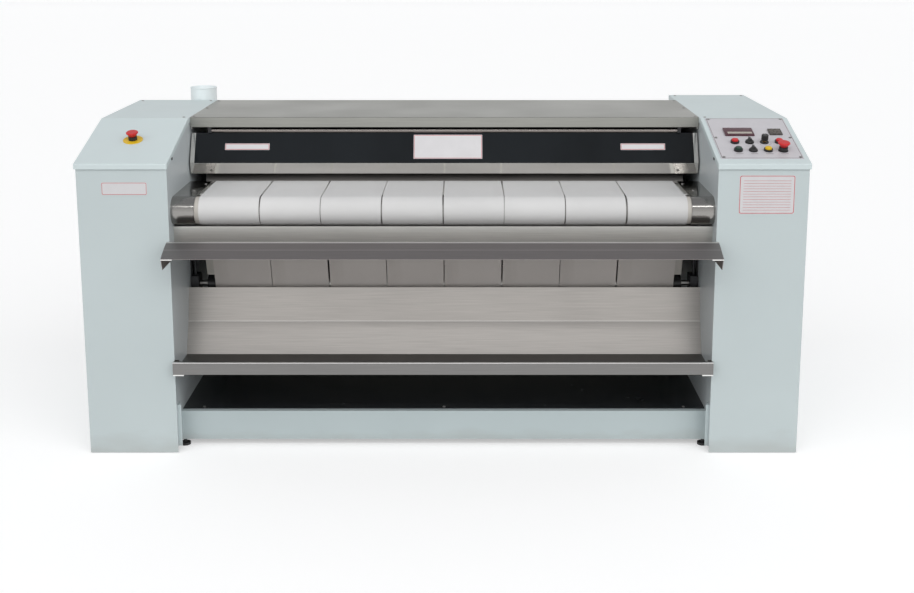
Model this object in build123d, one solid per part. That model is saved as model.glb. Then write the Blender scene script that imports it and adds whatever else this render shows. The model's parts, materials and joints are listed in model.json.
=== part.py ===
from build123d import *
from math import asin, atan2, cos, degrees, pi, radians, sin, tan
import os

# Flatwork ironer: a heated drum between two side cabinets, linen belts at the front, return at the front.
# Millimetres. X to the right, Y to the back, Z up. "depth" is measured back from the cabinets' front.

# ---- overall sizes -------------------------------------------------------------------------------
CABINET_WIDTH = 294.0
BESIDE_BELTS = 92.5         # from the outer belts to the cabinets' inner walls
BEHIND_DRUM = 99.0          # from the drum to the left cabinet's back
RIGHT_DEEPER = 164.0        # the right cabinet reaches this much further back
ABOVE_DRUM = 96.0           # from the drum to the top of lids and hood
LIP_DROP = 102.0            # front edge of the sloping lid faces, below the top
LID_OVERHANG = 5.0
LID_LIP = 18.0
LID_EDGE = 3.0              # outer rounding of lids and cabinets
SKIRT_GAP = 2.0             # cabinets stop this far above the floor
SHELF_REACH = 131.0         # shelf lip in front of the cabinets

# ---- sheets, plates and clearances ---------------------------------------------------------------
SHEET = 1.5
LID_SHEET = 2.0
BEND = 2.0                  # inside radius of folds
PLATE = 6.0
GAP = 0.3                   # between curved faces, and between covers
FIT = 0.05                  # running clearance of shafts, on the radius

# ---- belts, drum and rollers (depth, height) -----------------------------------------------------
BELT_COUNT = 8
BELT_PITCH = 200.0
BELT_WIDTH = 192.0
BELT = 2.0
DRUM_DEPTH = 565.0
DRUM_HEIGHT = 790.0
DRUM_RADIUS = 200.0
DRUM_WALL = 6.0
DRUM_OVERHANG = 44.0        # drum beyond the outer belts
JOURNAL_RADIUS = 30.0
JOURNAL_BORE = 22.0
JOURNAL_REACH = 96.0        # journals beyond the side frames
ENTRY_RADIUS = 25.0
ENTRY_ANGLE = 135.0
EXIT_RADIUS = 25.0
EXIT_AHEAD = 120.0          # exit roller's axis ahead of the drum's face
EXIT_BELOW = 135.0          # and below the drum's axis
LOWER_RADIUS = 32.0
LOWER_BACK = 64.0           # lower roller behind and below the exit roller
LOWER_DROP = 150.0
REAR_RADIUS = 22.0
REAR_LOWER_GAP = 52.0       # from the rear rollers to the cabinets' back
REAR_UPPER_GAP = 22.0
REAR_LOWER_DROP = 320.0     # rear lower roller below the drum's axis
REAR_UPPER_DROP = 61.0      # rear upper roller below the hood's top
NOSE_RADIUS = 45.0
NOSE_DEPTH = 75.0
NOSE_RISE = 26.0            # nose roller's axis above the drum's
FEED_REAR_RADIUS = 22.0
HANDOVER_GAP = 1.1          # between feed belts and drum
ROLLER_WALL = 3.0
ROLLER_PLUG = 12.0
ROLLER_PIN = 10.0
VENT = 3.0
ROLLER_OVERHANG = 2.0
NOSE_OVERHANG = 16.0
LOWER_OVERHANG = 32.0
BEARING_SIDE = 64.0
BEARING_THICKNESS = 22.0
BEARING_FLANGE = 8.0
DRUM_BEARING_SIDE = 150.0
DRUM_BEARING_THICKNESS = 36.0
DRUM_BEARING_FLANGE = 12.0
TAKEUP_THICKNESS = 26.0
TAKEUP_SLOT = 20.0          # half depth of the tensioner's slide
TAKEUP_TRAVEL = 54.0
TAKEUP_SCREW = 5.0
TAKEUP_WALL_GAP = 3.0

# ---- drive -----------------------------------------------------------------------------------
CHAIN_PITCH = 12.7
CHAIN_HEIGHT = 9.0
SPROCKET_THICKNESS = 7.0
LINK_PLATE = 1.5
DRIVEN_TEETH = 57
DRIVE_TEETH = 19
FEED_BIG_TEETH = 55
FEED_SMALL_TEETH = 13
SPROCKET_OFFSET = 55.0      # middle of the sprockets beyond the side frames
GEARBOX_HEIGHT = 330.0      # axis of the output shaft
GEARBOX_SIZE = (96.0, 130.0, 140.0)
GEARBOX_OFFSET = 72.0       # gearbox beyond the side frame
OUTPUT_RADIUS = 12.5
MOTOR_RADIUS = 62.0
MOTOR_LENGTH = 220.0
FLOOR_PAN = 4.0

# ---- heater ----------------------------------------------------------------------------------
CARRIER_RADIUS = 18.0
CARRIER_WALL = 3.0
ELEMENT_COUNT = 8
ELEMENT_RADIUS = 5.0
ELEMENT_CIRCLE = 105.0
SPIDER_RADIUS = 118.0
SPIDER_THICKNESS = 3.0
SPIDER_SPACING = 520.0
HEATER_OFFSET = 115.0       # heater bracket beyond the side frame
HEATER_POST_DEPTH = 145.0   # bracket posts behind the drum axis
HEATER_POST_RISE = 70.0

# ---- front sheets (depth, height) ----------------------------------------------------------------
APRON_DEPTH = 65.0
APRON_BELOW_NOSE = 7.0
APRON_FLANGE = 35.0
APRON_FOOT = 14.0
SHELF_ROOT_DROP = 58.0      # shelf's root below the apron's top
SHELF_EDGE_BACK = 90.0      # edge, crease and end plates' corner behind the lip
SHELF_CREASE_BACK = 45.0
SHELF_CORNER_BACK = 17.0
SHELF_EDGE_RISE = 30.0      # edge and crease above the root, lip and corner below it
SHELF_CREASE_RISE = 14.0
SHELF_LIP_BELOW = 5.0
SHELF_CORNER_BELOW = 44.0
CHUTE_GAP = 27.0            # between the lower roller and the chute's top
CHUTE_UPPER = (25.0, 114.0)     # forward and down to the crease
CHUTE_LOWER = (45.0, 106.0)     # forward and down to the tray
TRAY_FRONT = -29.0
TRAY_LIP = 40.0
TRAY_HEM = 10.0
TRAY_END = 89.0             # end plates' length and lower height
TRAY_END_HEIGHT = 20.0
TRAY_UNDER_CHUTE = 16.0
BASE_FRONT = 92.0
BASE_FLOOR = 122.0
BASE_LIP = 20.0
RAIL_DEPTH = 70.0
RAIL_THICKNESS = 20.0
RAIL_BOTTOM = 21.0
RAIL_WALL = 3.0
ANGLE_RISE = 43.0           # corner angles above the base tray
ANGLE_DEPTH = 12.0
ANGLE_LEGS = (12.0, 28.0)
FOOT_RADIUS = 18.0
FOOT_DISC = 8.0
FOOT_STEM = 6.0
FOOT_INSET = 6.5            # inner feet from the inner walls
FOOT_CORNER = (32.0, 60.0)  # outer feet from the outer wall and from front and back
HOOD_AHEAD = 1.0            # hood's front ahead of the drum's face
HOOD_FLANGE = 35.0
HOOD_REAR_FLANGE = 26.0
REAR_PANEL_FLANGE = 14.5
REAR_PANEL_GAP = 24.0       # rear panel above the base tray
CREST_AHEAD = 26.0          # lid's crest ahead of the hood's front
BED_INSET = 4.0
BED_LIP = 20.0
HOOD_RAIL_LEG = 26.0        # hood rails: leg on the wall, reach towards the hood, return, sheet
HOOD_RAIL_REACH = 26.0
HOOD_RAIL_RETURN = 20.0
HOOD_RAIL_SHEET = 3.0
HOOD_RAIL_START = 30.0
HOOD_RAIL_END = 18.0
FUME_HOLE = 38.0
FUME_AHEAD = 130.0          # fume hole ahead of the rear upper roller
FUME_DROP = 88.0            # and below the top
CABLE_HOLE = 16.0
CABLE_HEIGHT = 180.0
REAR_RAIL_INSET = 50.0      # rear base rail in front of the hood's back
GUIDE_SHEET = 3.0
GUIDE_GAP = 3.0             # edge guides beside the belts
GUIDE_WIDTH = 24.0
GUIDE_TOP = (19.0, 15.0)    # ahead of and below the exit roller's axis
GUIDE_FOOT = (49.0, 43.0)   # ahead of and above the lower roller's axis
GUIDE_TAB = 0.15            # share of the strip that the tab holds

# ---- finger guard ----------------------------------------------------------------------------
GUARD_TOP_BACK = 11.0       # guard's top behind the hood's front
GUARD_TOP_DROP = 58.0       # and below the hood's top
GUARD_BEND_AHEAD = 40.0     # its bend and lower edge ahead of the hood's front
GUARD_BOTTOM_AHEAD = 29.0
GUARD_BEND_RISE = 38.0      # bend above the lower edge
GUARD_CLEARANCE = 28.7      # lower edge above the feed belts
GUARD_SIDE_GAP = 5.5
GUARD_SHEET = 2.0
GLASS = 3.0
GLASS_MARGIN = 15.0
GLASS_SEAT = 14.0
HINGE_RADIUS = 8.0
HINGE_PIN = 5.0
HINGE_RISE = 9.0
HINGE_SIDE_GAP = 62.5       # hinge blocks from the inner walls
HINGE_BLOCK = 12.0

# ---- controls (across the lid, up the slope) -----------------------------------------------------
PANEL_LOW = 36.0
PANEL_CREST_GAP = 5.8       # panel's upper edge below the lid's crest
PANEL_INSET = 13.0          # panel's sides from the cabinet's
PANEL_SHEET = 2.0
ROW_LOW = 95.0
ROW_HIGH = 157.0
COLUMN_FIRST = -68.0
COLUMN_PITCH = 49.0
BEZEL_RADIUS = 14.5
BEZEL_HEIGHT = 7.0
BEZEL_BASE = 2.0
BUTTON_RADIUS = 11.0
BUTTON_HEIGHT = 10.0
BUTTON_TRAVEL = 4.0
STEM_RADIUS = 6.0
STEM_LENGTH = 24.0
SLEEVE_RADIUS = 10.5
SLEEVE_CLEARANCE = 0.5
BLOCK_SIDE = 30.0
BLOCK_HEIGHT = 30.0
SELECTOR_RADIUS = 13.0
SELECTOR_HEIGHT = 12.0
CAP_RISE = 3.5              # turning controls above the panel
KNOB_RADIUS = 11.5
KNOB_HEIGHT = 19.0
KNOB_NECK = 6.0
KNOB_RIBS = 18
KNOB_RIB = 2.0
MUSHROOM_RADIUS = 20.0
MUSHROOM_HEIGHT = 12.0
ESTOP_DISC_RADIUS = 32.0
ESTOP_COLLAR_HEIGHT = 14.0
DISPLAY_SIZE = (98.0, 58.0)
DISPLAY_PLACE = (-41.0, 235.0)
METER_SIZE = (44.0, 44.0)
METER_PLACE = (82.0, 235.0)
DISPLAY_HEIGHT = 5.0

# ---- fume blower at the left rear ----------------------------------------------------------------
STACK_RADIUS = 50.0
STACK_WALL = 1.5
STACK_RISE = 45.0           # stack's end above the lids
STACK_INSET = 62.5          # stack axis from the left inner wall
SCROLL_RADIUS = 115.0
SCROLL_DROP = 226.0         # blower's axis and casing top below the lids
SCROLL_NECK_DROP = 76.0
SCROLL_DEPTH = 122.0
SCROLL_WALL = 2.0
INLET_RADIUS = 48.0
IMPELLER_RADIUS = 92.0
BLADE_COUNT = 20
FAN_SHAFT = 6.0
FAN_MOTOR_RADIUS = 58.0
FAN_MOTOR_LENGTH = 42.0

# ---- screws ----------------------------------------------------------------------------------
SCREW_HEAD = 5.0
SCREW_HEAD_HEIGHT = 2.5
SCREW_SHANK = 2.0
SCREW_LENGTH = 8.0
SCREW_EDGE = 10.0
SCREW_HOLE = SCREW_SHANK + 0.1

# ---- electrics box -------------------------------------------------------------------------------
ELECTRICS_SIZE = (150.0, 155.0, 220.0)
ELECTRICS_DEPTH = 50.0
ELECTRICS_HEIGHT = 400.0
ELECTRICS_WALL = 2.0
CONTACTOR_COUNT = 3
CONTACTOR_SIZE = (78.0, 70.0, 45.0)
CONTACTOR_PITCH = 60.0
CONTACTOR_INSET = (40.0, 30.0)

# ---- places worked out from the sizes above ------------------------------------------------------
LEFT_DEPTH = DRUM_DEPTH + DRUM_RADIUS + BEHIND_DRUM
RIGHT_DEPTH = LEFT_DEPTH + RIGHT_DEEPER
TOP = DRUM_HEIGHT + DRUM_RADIUS + ABOVE_DRUM
LIP_TOP = TOP - LIP_DROP
HOOD_FRONT = DRUM_DEPTH - DRUM_RADIUS - HOOD_AHEAD
SLOPE_DEPTH = HOOD_FRONT - CREST_AHEAD
SLOPE_LENGTH = ((SLOPE_DEPTH + LID_OVERHANG) ** 2 + LIP_DROP**2) ** 0.5
SLOPE_ANGLE = degrees(atan2(LIP_DROP, SLOPE_DEPTH + LID_OVERHANG))
FRONT_Y = (SHELF_REACH - RIGHT_DEPTH - LID_OVERHANG) / 2
BELTS_X = BELT_COUNT * BELT_PITCH / 2 - (BELT_PITCH - BELT_WIDTH) / 2
WALL_X = BELTS_X + BESIDE_BELTS
FRAME_X = WALL_X + PLATE
OUTER_X = WALL_X + CABINET_WIDTH
ROLLER_X = BELTS_X + ROLLER_OVERHANG
DRUM_X = BELTS_X + DRUM_OVERHANG
LID_INNER_X = WALL_X - LID_SHEET - GAP
CABINET_X = WALL_X + CABINET_WIDTH / 2
NOSE_HEIGHT = DRUM_HEIGHT + NOSE_RISE
FEED_TOP = NOSE_HEIGHT + NOSE_RADIUS + GAP + BELT
FEED_REAR_HEIGHT = FEED_TOP - BELT - GAP - FEED_REAR_RADIUS
HANDOVER = DRUM_RADIUS + HANDOVER_GAP + BELT + GAP + FEED_REAR_RADIUS
FEED_REAR_DEPTH = DRUM_DEPTH - (HANDOVER**2 - (FEED_REAR_HEIGHT - DRUM_HEIGHT) ** 2) ** 0.5
ENTRY_REACH = DRUM_RADIUS + BELT + 2 * GAP + ENTRY_RADIUS + 0.1
ENTRY_DEPTH = DRUM_DEPTH + ENTRY_REACH * cos(radians(ENTRY_ANGLE))
ENTRY_HEIGHT = DRUM_HEIGHT + ENTRY_REACH * sin(radians(ENTRY_ANGLE))
EXIT_DEPTH = DRUM_DEPTH - DRUM_RADIUS - EXIT_AHEAD
EXIT_HEIGHT = DRUM_HEIGHT - EXIT_BELOW
LOWER_DEPTH = EXIT_DEPTH + LOWER_BACK
LOWER_HEIGHT = EXIT_HEIGHT - LOWER_DROP
REAR_LOWER_DEPTH = LEFT_DEPTH - REAR_LOWER_GAP - REAR_RADIUS
REAR_LOWER_HEIGHT = DRUM_HEIGHT - REAR_LOWER_DROP
REAR_UPPER_DEPTH = LEFT_DEPTH - REAR_UPPER_GAP - REAR_RADIUS
REAR_UPPER_HEIGHT = TOP - REAR_UPPER_DROP
APRON_TOP = NOSE_HEIGHT - NOSE_RADIUS - APRON_BELOW_NOSE
SHELF_ROOT_HEIGHT = APRON_TOP - SHELF_ROOT_DROP
CHUTE_TOP = (LOWER_DEPTH - LOWER_RADIUS - CHUTE_GAP, LOWER_HEIGHT)
CHUTE_CREASE = (CHUTE_TOP[0] - CHUTE_UPPER[0], CHUTE_TOP[1] - CHUTE_UPPER[1])
TRAY_BACK = CHUTE_CREASE[0] - CHUTE_LOWER[0]
TRAY_FLOOR = CHUTE_CREASE[1] - CHUTE_LOWER[1]
GUARD_TOP = (HOOD_FRONT + GUARD_TOP_BACK, TOP - GUARD_TOP_DROP)
GUARD_BOTTOM = (HOOD_FRONT - GUARD_BOTTOM_AHEAD, FEED_TOP + GUARD_CLEARANCE)
GUARD_BEND = (HOOD_FRONT - GUARD_BEND_AHEAD, GUARD_BOTTOM[1] + GUARD_BEND_RISE)
FUME_PLACE = (REAR_UPPER_DEPTH - FUME_AHEAD, TOP - FUME_DROP)
PANEL_HIGH = SLOPE_LENGTH - PANEL_CREST_GAP
PANEL_WIDTH = CABINET_WIDTH - 2 * PANEL_INSET
STACK_TOP = TOP + STACK_RISE
SCROLL_TOP = TOP - SCROLL_NECK_DROP
SCROLL_HEIGHT = TOP - SCROLL_DROP
SPROCKET_X = FRAME_X + SPROCKET_OFFSET
HEATER_X = FRAME_X + HEATER_OFFSET
STACK_X = -(WALL_X + STACK_INSET)
STACK_DEPTH = LEFT_DEPTH + SCROLL_DEPTH / 2
SCROLL_X = STACK_X - (SCROLL_RADIUS - STACK_RADIUS)
HOOD_X = LID_INNER_X - GAP
GUARD_X = WALL_X - GUARD_SIDE_GAP
GLASS_X = GUARD_X - GLASS_MARGIN
HINGE_HALF = WALL_X - HINGE_SIDE_GAP
HINGE_DEPTH = GUARD_TOP[0]
HINGE_HEIGHT = GUARD_TOP[1] + HINGE_RISE
SIDES = (("left", -1, LEFT_DEPTH), ("right", 1, RIGHT_DEPTH))
COLUMNS = [COLUMN_FIRST + i * COLUMN_PITCH for i in range(4)]


# ---- shape helpers -------------------------------------------------------------------------------
def outline(points):
    """Closed face through (depth, height) points, in the sketch plane."""
    return make_face(Polyline(*[(FRONT_Y + d, h) for d, h in points], close=True))


def across(face, x_from, x_to):
    """Pushes a (depth, height) face along X between two places, in either order."""
    low, high = min(x_from, x_to), max(x_from, x_to)
    return extrude(Plane.YZ.offset(low) * face, amount=high - low)


def block(x_range, depth_range, height_range):
    """Box between two places along each direction."""
    size = [abs(b - a) for a, b in (x_range, depth_range, height_range)]
    low = [min(x_range), FRONT_Y + min(depth_range), min(height_range)]
    return Pos(*low) * Box(*size, align=(Align.MIN, Align.MIN, Align.MIN))


def bar(radius, x_from, x_to, depth, height):
    """Round bar along X."""
    low, high = min(x_from, x_to), max(x_from, x_to)
    place = Pos(low, FRONT_Y + depth, height) * Rot(0, 90, 0)
    return place * Cylinder(radius, high - low, align=(Align.CENTER, Align.CENTER, Align.MIN))


def bar_back(radius, x, depth_from, depth_to, height):
    """Round bar along Y."""
    place = Pos(x, FRONT_Y + depth_from, height) * Rot(-90, 0, 0)
    return place * Cylinder(radius, depth_to - depth_from, align=(Align.CENTER, Align.CENTER, Align.MIN))


def post(radius, x, depth, low, high):
    """Round bar along Z."""
    place = Pos(x, FRONT_Y + depth, low)
    return place * Cylinder(radius, high - low, align=(Align.CENTER, Align.CENTER, Align.MIN))


def shifted(path, distance):
    """The open path moved sideways to its left, with mitred corners."""
    normals = []
    for (a, b), (c, d) in zip(path, path[1:]):
        length = ((c - a) ** 2 + (d - b) ** 2) ** 0.5
        normals.append(((b - d) / length, (c - a) / length))
    moved = []
    for i, (a, b) in enumerate(path):
        before = normals[max(i - 1, 0)]
        after = normals[min(i, len(normals) - 1)]
        share = distance / (1 + before[0] * after[0] + before[1] * after[1])
        moved.append((a + share * (before[0] + after[0]), b + share * (before[1] + after[1])))
    return moved


def turns(path):
    """Which way the open path turns at each of its inner points: 1 is to the left."""
    signs = []
    for (a, b), (c, d), (e, f) in zip(path, path[1:], path[2:]):
        signs.append(1 if (c - a) * (f - d) > (d - b) * (e - c) else -1)
    return signs


def rounded(path, radii):
    """Edges along an open path, each inner point rounded by its radius."""
    points = [Vector(a, b) for a, b in path]
    edges, start = [], points[0]
    for before, corner, after, radius in zip(points, points[1:], points[2:], radii):
        back, ahead = (before - corner).normalized(), (after - corner).normalized()
        half = radians(back.get_angle(ahead)) / 2
        arrive, leave = corner + back * (radius / tan(half)), corner + ahead * (radius / tan(half))
        middle = corner + (back + ahead).normalized() * (radius / sin(half) - radius)
        edges += [Line(start, arrive), ThreePointArc(arrive, middle, leave)]
        start = leave
    return edges + [Line(start, points[-1])]


def sheet_face(path, thickness):
    """Section of a sheet folded along the path and thickened to its left, with round folds."""
    thick = abs(thickness)
    inner_first = [turn * thickness < 0 for turn in turns(path)]
    near = rounded(path, [BEND if inner else BEND + thick for inner in inner_first])
    far_path = shifted(path, thickness)
    far = rounded(far_path, [BEND + thick if inner else BEND for inner in inner_first])
    ends = [Line(Vector(*path[0]), Vector(*far_path[0])), Line(Vector(*path[-1]), Vector(*far_path[-1]))]
    return make_face(Curve() + (near + far + ends))


def bent_sheet(path, thickness, x_from, x_to):
    """Folded sheet whose (depth, height) section is the path, thickened to its left."""
    placed = [(FRONT_Y + d, h) for d, h in path]
    return across(sheet_face(placed, thickness), x_from, x_to)


def loop_face(wheels, side):
    """Face inside a band that runs round wheels of (depth, height, radius, turn), turn 1 or -1.

    side is the band's distance beyond each radius where the turn is 1; where it is -1, it is inside it.
    """
    centres = [(FRONT_Y + d, h) for d, h, _, _ in wheels]
    reaches = [turn * radius + side for _, _, radius, turn in wheels]
    headings = []
    for i, (y, z) in enumerate(centres):
        j = (i + 1) % len(wheels)
        along, up = centres[j][0] - y, centres[j][1] - z
        distance = (along**2 + up**2) ** 0.5
        headings.append(atan2(up, along) - asin((reaches[j] - reaches[i]) / distance))
    edges = []
    for i, (y, z) in enumerate(centres):
        turn = wheels[i][3]
        start, end = headings[i - 1], headings[i]
        while (end - start) * turn < 0:
            end += turn * 2 * pi
        points = []
        for heading in (start, (start + end) / 2, end):
            points.append((y + reaches[i] * sin(heading), z - reaches[i] * cos(heading)))
        edges.append(ThreePointArc(*points))
        j = (i + 1) % len(wheels)
        target = (
            centres[j][0] + reaches[j] * sin(headings[i]),
            centres[j][1] - reaches[j] * cos(headings[i]),
        )
        edges.append(Line(points[2], target))
    return make_face(Curve() + edges)


def band(wheels, thickness, x_from, x_to):
    """Closed flat band round the wheels, resting on them with a small gap."""
    outer = loop_face([(d, h, r + GAP + thickness / 2, t) for d, h, r, t in wheels], thickness / 2)
    inner = loop_face([(d, h, r + GAP + thickness / 2, t) for d, h, r, t in wheels], -thickness / 2)
    return across(outer - inner, x_from, x_to)


def roller(radius, half_length, pin_reach, depth, height):
    """Closed tube with end plugs, a vent in each, and a pin at both ends."""
    body = bar(radius, -half_length, half_length, depth, height)
    plug_x = half_length - ROLLER_PLUG
    body -= bar(radius - ROLLER_WALL, -plug_x, plug_x, depth, height)
    vent_height = height + (radius - ROLLER_WALL + ROLLER_PIN) / 2
    body -= bar(VENT, -half_length, half_length, depth, vent_height)
    for side in (-1, 1):
        body += bar(ROLLER_PIN, side * plug_x, side * pin_reach, depth, height)
    return body


def pitch_radius(teeth):
    return CHAIN_PITCH / 2 / sin(pi / teeth)


def sprocket(teeth, x, depth, height, bore):
    """Toothed disc in the YZ plane with a hub on its outer side."""
    middle = pitch_radius(teeth)
    root, tip = middle - CHAIN_PITCH * 0.3, middle + CHAIN_PITCH * 0.24
    points = []
    for i in range(teeth):
        for radius, share in ((root, -0.3), (root, 0.0), (tip, 0.22), (tip, 0.48)):
            angle = 2 * pi * (i + share) / teeth
            points.append((depth + radius * cos(angle), height + radius * sin(angle)))
    half = SPROCKET_THICKNESS / 2
    wheel = across(outline(points), x - half, x + half)
    hub_end = x + (half + 16 if x > 0 else -half - 16)
    wheel += bar(bore * 1.3 + 2, x, hub_end, depth, height)
    return wheel - bar(bore, x - 40, x + 40, depth, height)


def chain(big_teeth, big, small_teeth, small, x):
    """Roller chain: two rows of link plates round both sprockets, joined by pins on the straight runs."""
    wheels = [
        (*big, pitch_radius(big_teeth), 1),
        (*small, pitch_radius(small_teeth), 1),
    ]
    outer = loop_face(wheels, CHAIN_HEIGHT / 2)
    inner = loop_face(wheels, -CHAIN_HEIGHT / 2)
    near = SPROCKET_THICKNESS / 2 + 0.5
    far = near + LINK_PLATE
    links = across(outer - inner, x + near, x + far) + across(outer - inner, x - far, x - near)
    run_y, run_z = small[0] - big[0], small[1] - big[1]
    distance = (run_y**2 + run_z**2) ** 0.5
    heading = atan2(run_z, run_y)
    for side in (-1, 1):
        reach = side * wheels[0][2], side * wheels[1][2]
        lean = heading - asin((reach[1] - reach[0]) / distance)
        start = (big[0] + reach[0] * sin(lean), big[1] - reach[0] * cos(lean))
        end = (small[0] + reach[1] * sin(lean), small[1] - reach[1] * cos(lean))
        run = ((end[0] - start[0]) ** 2 + (end[1] - start[1]) ** 2) ** 0.5
        count = int(run / CHAIN_PITCH / 2) - 3
        for i in range(count):
            share = (i + 2) * 2 * CHAIN_PITCH / run
            place = (start[0] + share * (end[0] - start[0]), start[1] + share * (end[1] - start[1]))
            links += bar(2.2, x - far, x + far, *place)
    return links


def slope_place(x, up, lift):
    """Place on a lid's sloping face: across, up the slope, and above the lid's sheet."""
    frame = Plane(
        origin=(0, FRONT_Y - LID_OVERHANG, LIP_TOP),
        x_dir=(1, 0, 0),
        z_dir=(0, -sin(radians(SLOPE_ANGLE)), cos(radians(SLOPE_ANGLE))),
    )
    return frame.location * Pos(x, up, lift)


def disc(radius, height):
    return Cylinder(radius, height, align=(Align.CENTER, Align.CENTER, Align.MIN))


def hole(place, radius):
    """Short drill through the sheets at a place."""
    return place * Pos(0, 0, -40) * disc(radius, 80)


def screw(place):
    """Domed screw, its head resting on the place's surface."""
    head = disc(SCREW_HEAD, SCREW_HEAD_HEIGHT)
    head = fillet(head.edges().group_by(Axis.Z)[-1], SCREW_HEAD_HEIGHT * 0.6)
    return place * (head + Pos(0, 0, -SCREW_LENGTH) * disc(SCREW_SHANK, SCREW_LENGTH))


# ---- where screws and controls sit ---------------------------------------------------------------
def lid_screw_places(side, depth):
    """Screws in the flat top of a lid, near the hood, and at its front corner."""
    x = side * (LID_INNER_X + SCREW_EDGE + PLATE + 4)
    flat = [Pos(x, FRONT_Y + d, TOP) for d in (SLOPE_DEPTH + 22, depth - 30)]
    flat.append(Pos(side * (OUTER_X - 14), FRONT_Y + depth - 30, TOP))
    return flat


def hood_screw_places():
    places = []
    for side in (-1, 1):
        for d in (HOOD_FRONT + 18, (HOOD_FRONT + LEFT_DEPTH) / 2, LEFT_DEPTH - 30):
            places.append(Pos(side * (HOOD_X - SCREW_EDGE), FRONT_Y + d, TOP))
    return places


def panel_screw_places():
    places = []
    for side in (-1, 1):
        for up in (PANEL_LOW + SCREW_EDGE, (PANEL_LOW + PANEL_HIGH) / 2, PANEL_HIGH - SCREW_EDGE):
            x = CABINET_X + side * (PANEL_WIDTH / 2 - SCREW_EDGE)
            places.append(slope_place(x, up, PANEL_SHEET))
    return places


def base_screw_places():
    """Screws in the base tray's floor behind its front edge."""
    x = BELTS_X + ROLLER_OVERHANG + SCREW_EDGE * 2
    return [Pos(px, FRONT_Y + BASE_FRONT + SCREW_EDGE + 2, BASE_FLOOR + SHEET) for px in (-x, 0, x)]


CONTROLS = {
    "red_button": ("button", COLUMNS[0], ROW_HIGH),
    "green_button": ("button", COLUMNS[0], ROW_LOW),
    "upper_selector": ("selector", COLUMNS[1], ROW_HIGH),
    "lower_selector": ("selector", COLUMNS[1], ROW_LOW),
    "speed_knob": ("knob", COLUMNS[2], ROW_HIGH),
    "yellow_button": ("button", COLUMNS[2], ROW_LOW),
    "second_red_button": ("button", COLUMNS[3], ROW_HIGH),
    "panel_stop_head": ("stop", COLUMNS[3], ROW_LOW),
}


def control_place(name):
    _, across_lid, up = CONTROLS[name]
    return slope_place(CABINET_X + across_lid, up, PANEL_SHEET)


STOP_LEFT_PLACE = slope_place(-CABINET_X, SLOPE_LENGTH / 2, 0)


# ---- frame, cabinets and covers ------------------------------------------------------------------
def lid_path(depth):
    """Upper outside of a lid's section, from the front lip to the rear lip."""
    back = depth + LID_OVERHANG
    return [
        (-LID_OVERHANG, LIP_TOP - LID_LIP),
        (-LID_OVERHANG, LIP_TOP),
        (SLOPE_DEPTH, TOP),
        (back, TOP),
        (back, TOP - LID_LIP),
    ]


def under_lid(depth, front):
    """Section of what stands under a lid: front edge, slope and flat top, open below."""
    path = shifted(lid_path(depth), -(LID_SHEET + GAP))
    slope_rise = (path[2][1] - path[1][1]) / (path[2][0] - path[1][0])
    start = (front, path[1][1] + (front - path[1][0]) * slope_rise)
    return [start, path[2]]


def side_frame(side, depth):
    """Steel plate that carries the bearings and is the cabinet's inner wall."""
    start, crest = under_lid(depth, SHEET)
    back = depth - SHEET
    points = [start, crest, (back, crest[1]), (back, RAIL_BOTTOM), (SHEET, RAIL_BOTTOM)]
    plate = across(outline(points), side * WALL_X, side * FRAME_X)
    for d, h in ROLLER_PINS:
        plate -= bar(ROLLER_PIN + 4, side * (WALL_X - 1), side * (FRAME_X + 1), d, h)
    plate -= bar(JOURNAL_RADIUS + 8, side * (WALL_X - 1), side * (FRAME_X + 1), DRUM_DEPTH, DRUM_HEIGHT)
    if side < 0:
        plate -= bar(FUME_HOLE, -WALL_X + 1, -FRAME_X - 1, *FUME_PLACE)
    return plate


ROLLER_PINS = [
    (NOSE_DEPTH, NOSE_HEIGHT),
    (FEED_REAR_DEPTH, FEED_REAR_HEIGHT),
    (ENTRY_DEPTH, ENTRY_HEIGHT),
    (EXIT_DEPTH, EXIT_HEIGHT),
    (REAR_LOWER_DEPTH, REAR_LOWER_HEIGHT),
    (REAR_UPPER_DEPTH, REAR_UPPER_HEIGHT),
]


def cabinet_shell(side, depth):
    """Front and outer side of a cabinet in one folded sheet, with a return at the rear."""
    start, crest = under_lid(depth, 0)
    points = [start, crest, (depth, crest[1]), (depth, SKIRT_GAP), (0, SKIRT_GAP)]
    shell = across(outline(points), side * WALL_X, side * OUTER_X)
    corner = [e for e in shell.edges().filter_by(Axis.Z) if abs(e.center().X) > CABINET_X and e.center().Y < FRONT_Y + 1]
    shell = fillet(corner, LID_EDGE)
    shell -= block((side * (WALL_X - 5), side * (OUTER_X - SHEET)), (SHEET, depth + 5), (-5, TOP + 5))
    flange = (depth - 2 * SHEET, depth - SHEET)
    shell += block((side * (OUTER_X - 16), side * (OUTER_X - SHEET)), flange, (30, LIP_TOP))
    return shell - block((side * (OUTER_X - SHEET), side * (WALL_X - 5)), (depth - SHEET, depth + 5), (-5, TOP))


def rear_cover(side, depth):
    top = TOP - LID_SHEET - GAP
    cover = block((side * WALL_X, side * (OUTER_X - SHEET - GAP)), (depth - SHEET, depth), (SKIRT_GAP, top))
    if side < 0:
        return cover - bar_back(INLET_RADIUS, SCROLL_X, depth - 5, depth + 5, SCROLL_HEIGHT)
    return cover - bar_back(CABLE_HOLE, side * CABINET_X, depth - 5, depth + 5, CABLE_HEIGHT)


def floor_pan(side, depth):
    """Cabinet floor that the outer feet screw into."""
    heights = (RAIL_BOTTOM, RAIL_BOTTOM + FLOOR_PAN)
    return block((side * FRAME_X, side * (OUTER_X - SHEET)), (SHEET, depth - 2 * SHEET), heights)


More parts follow.
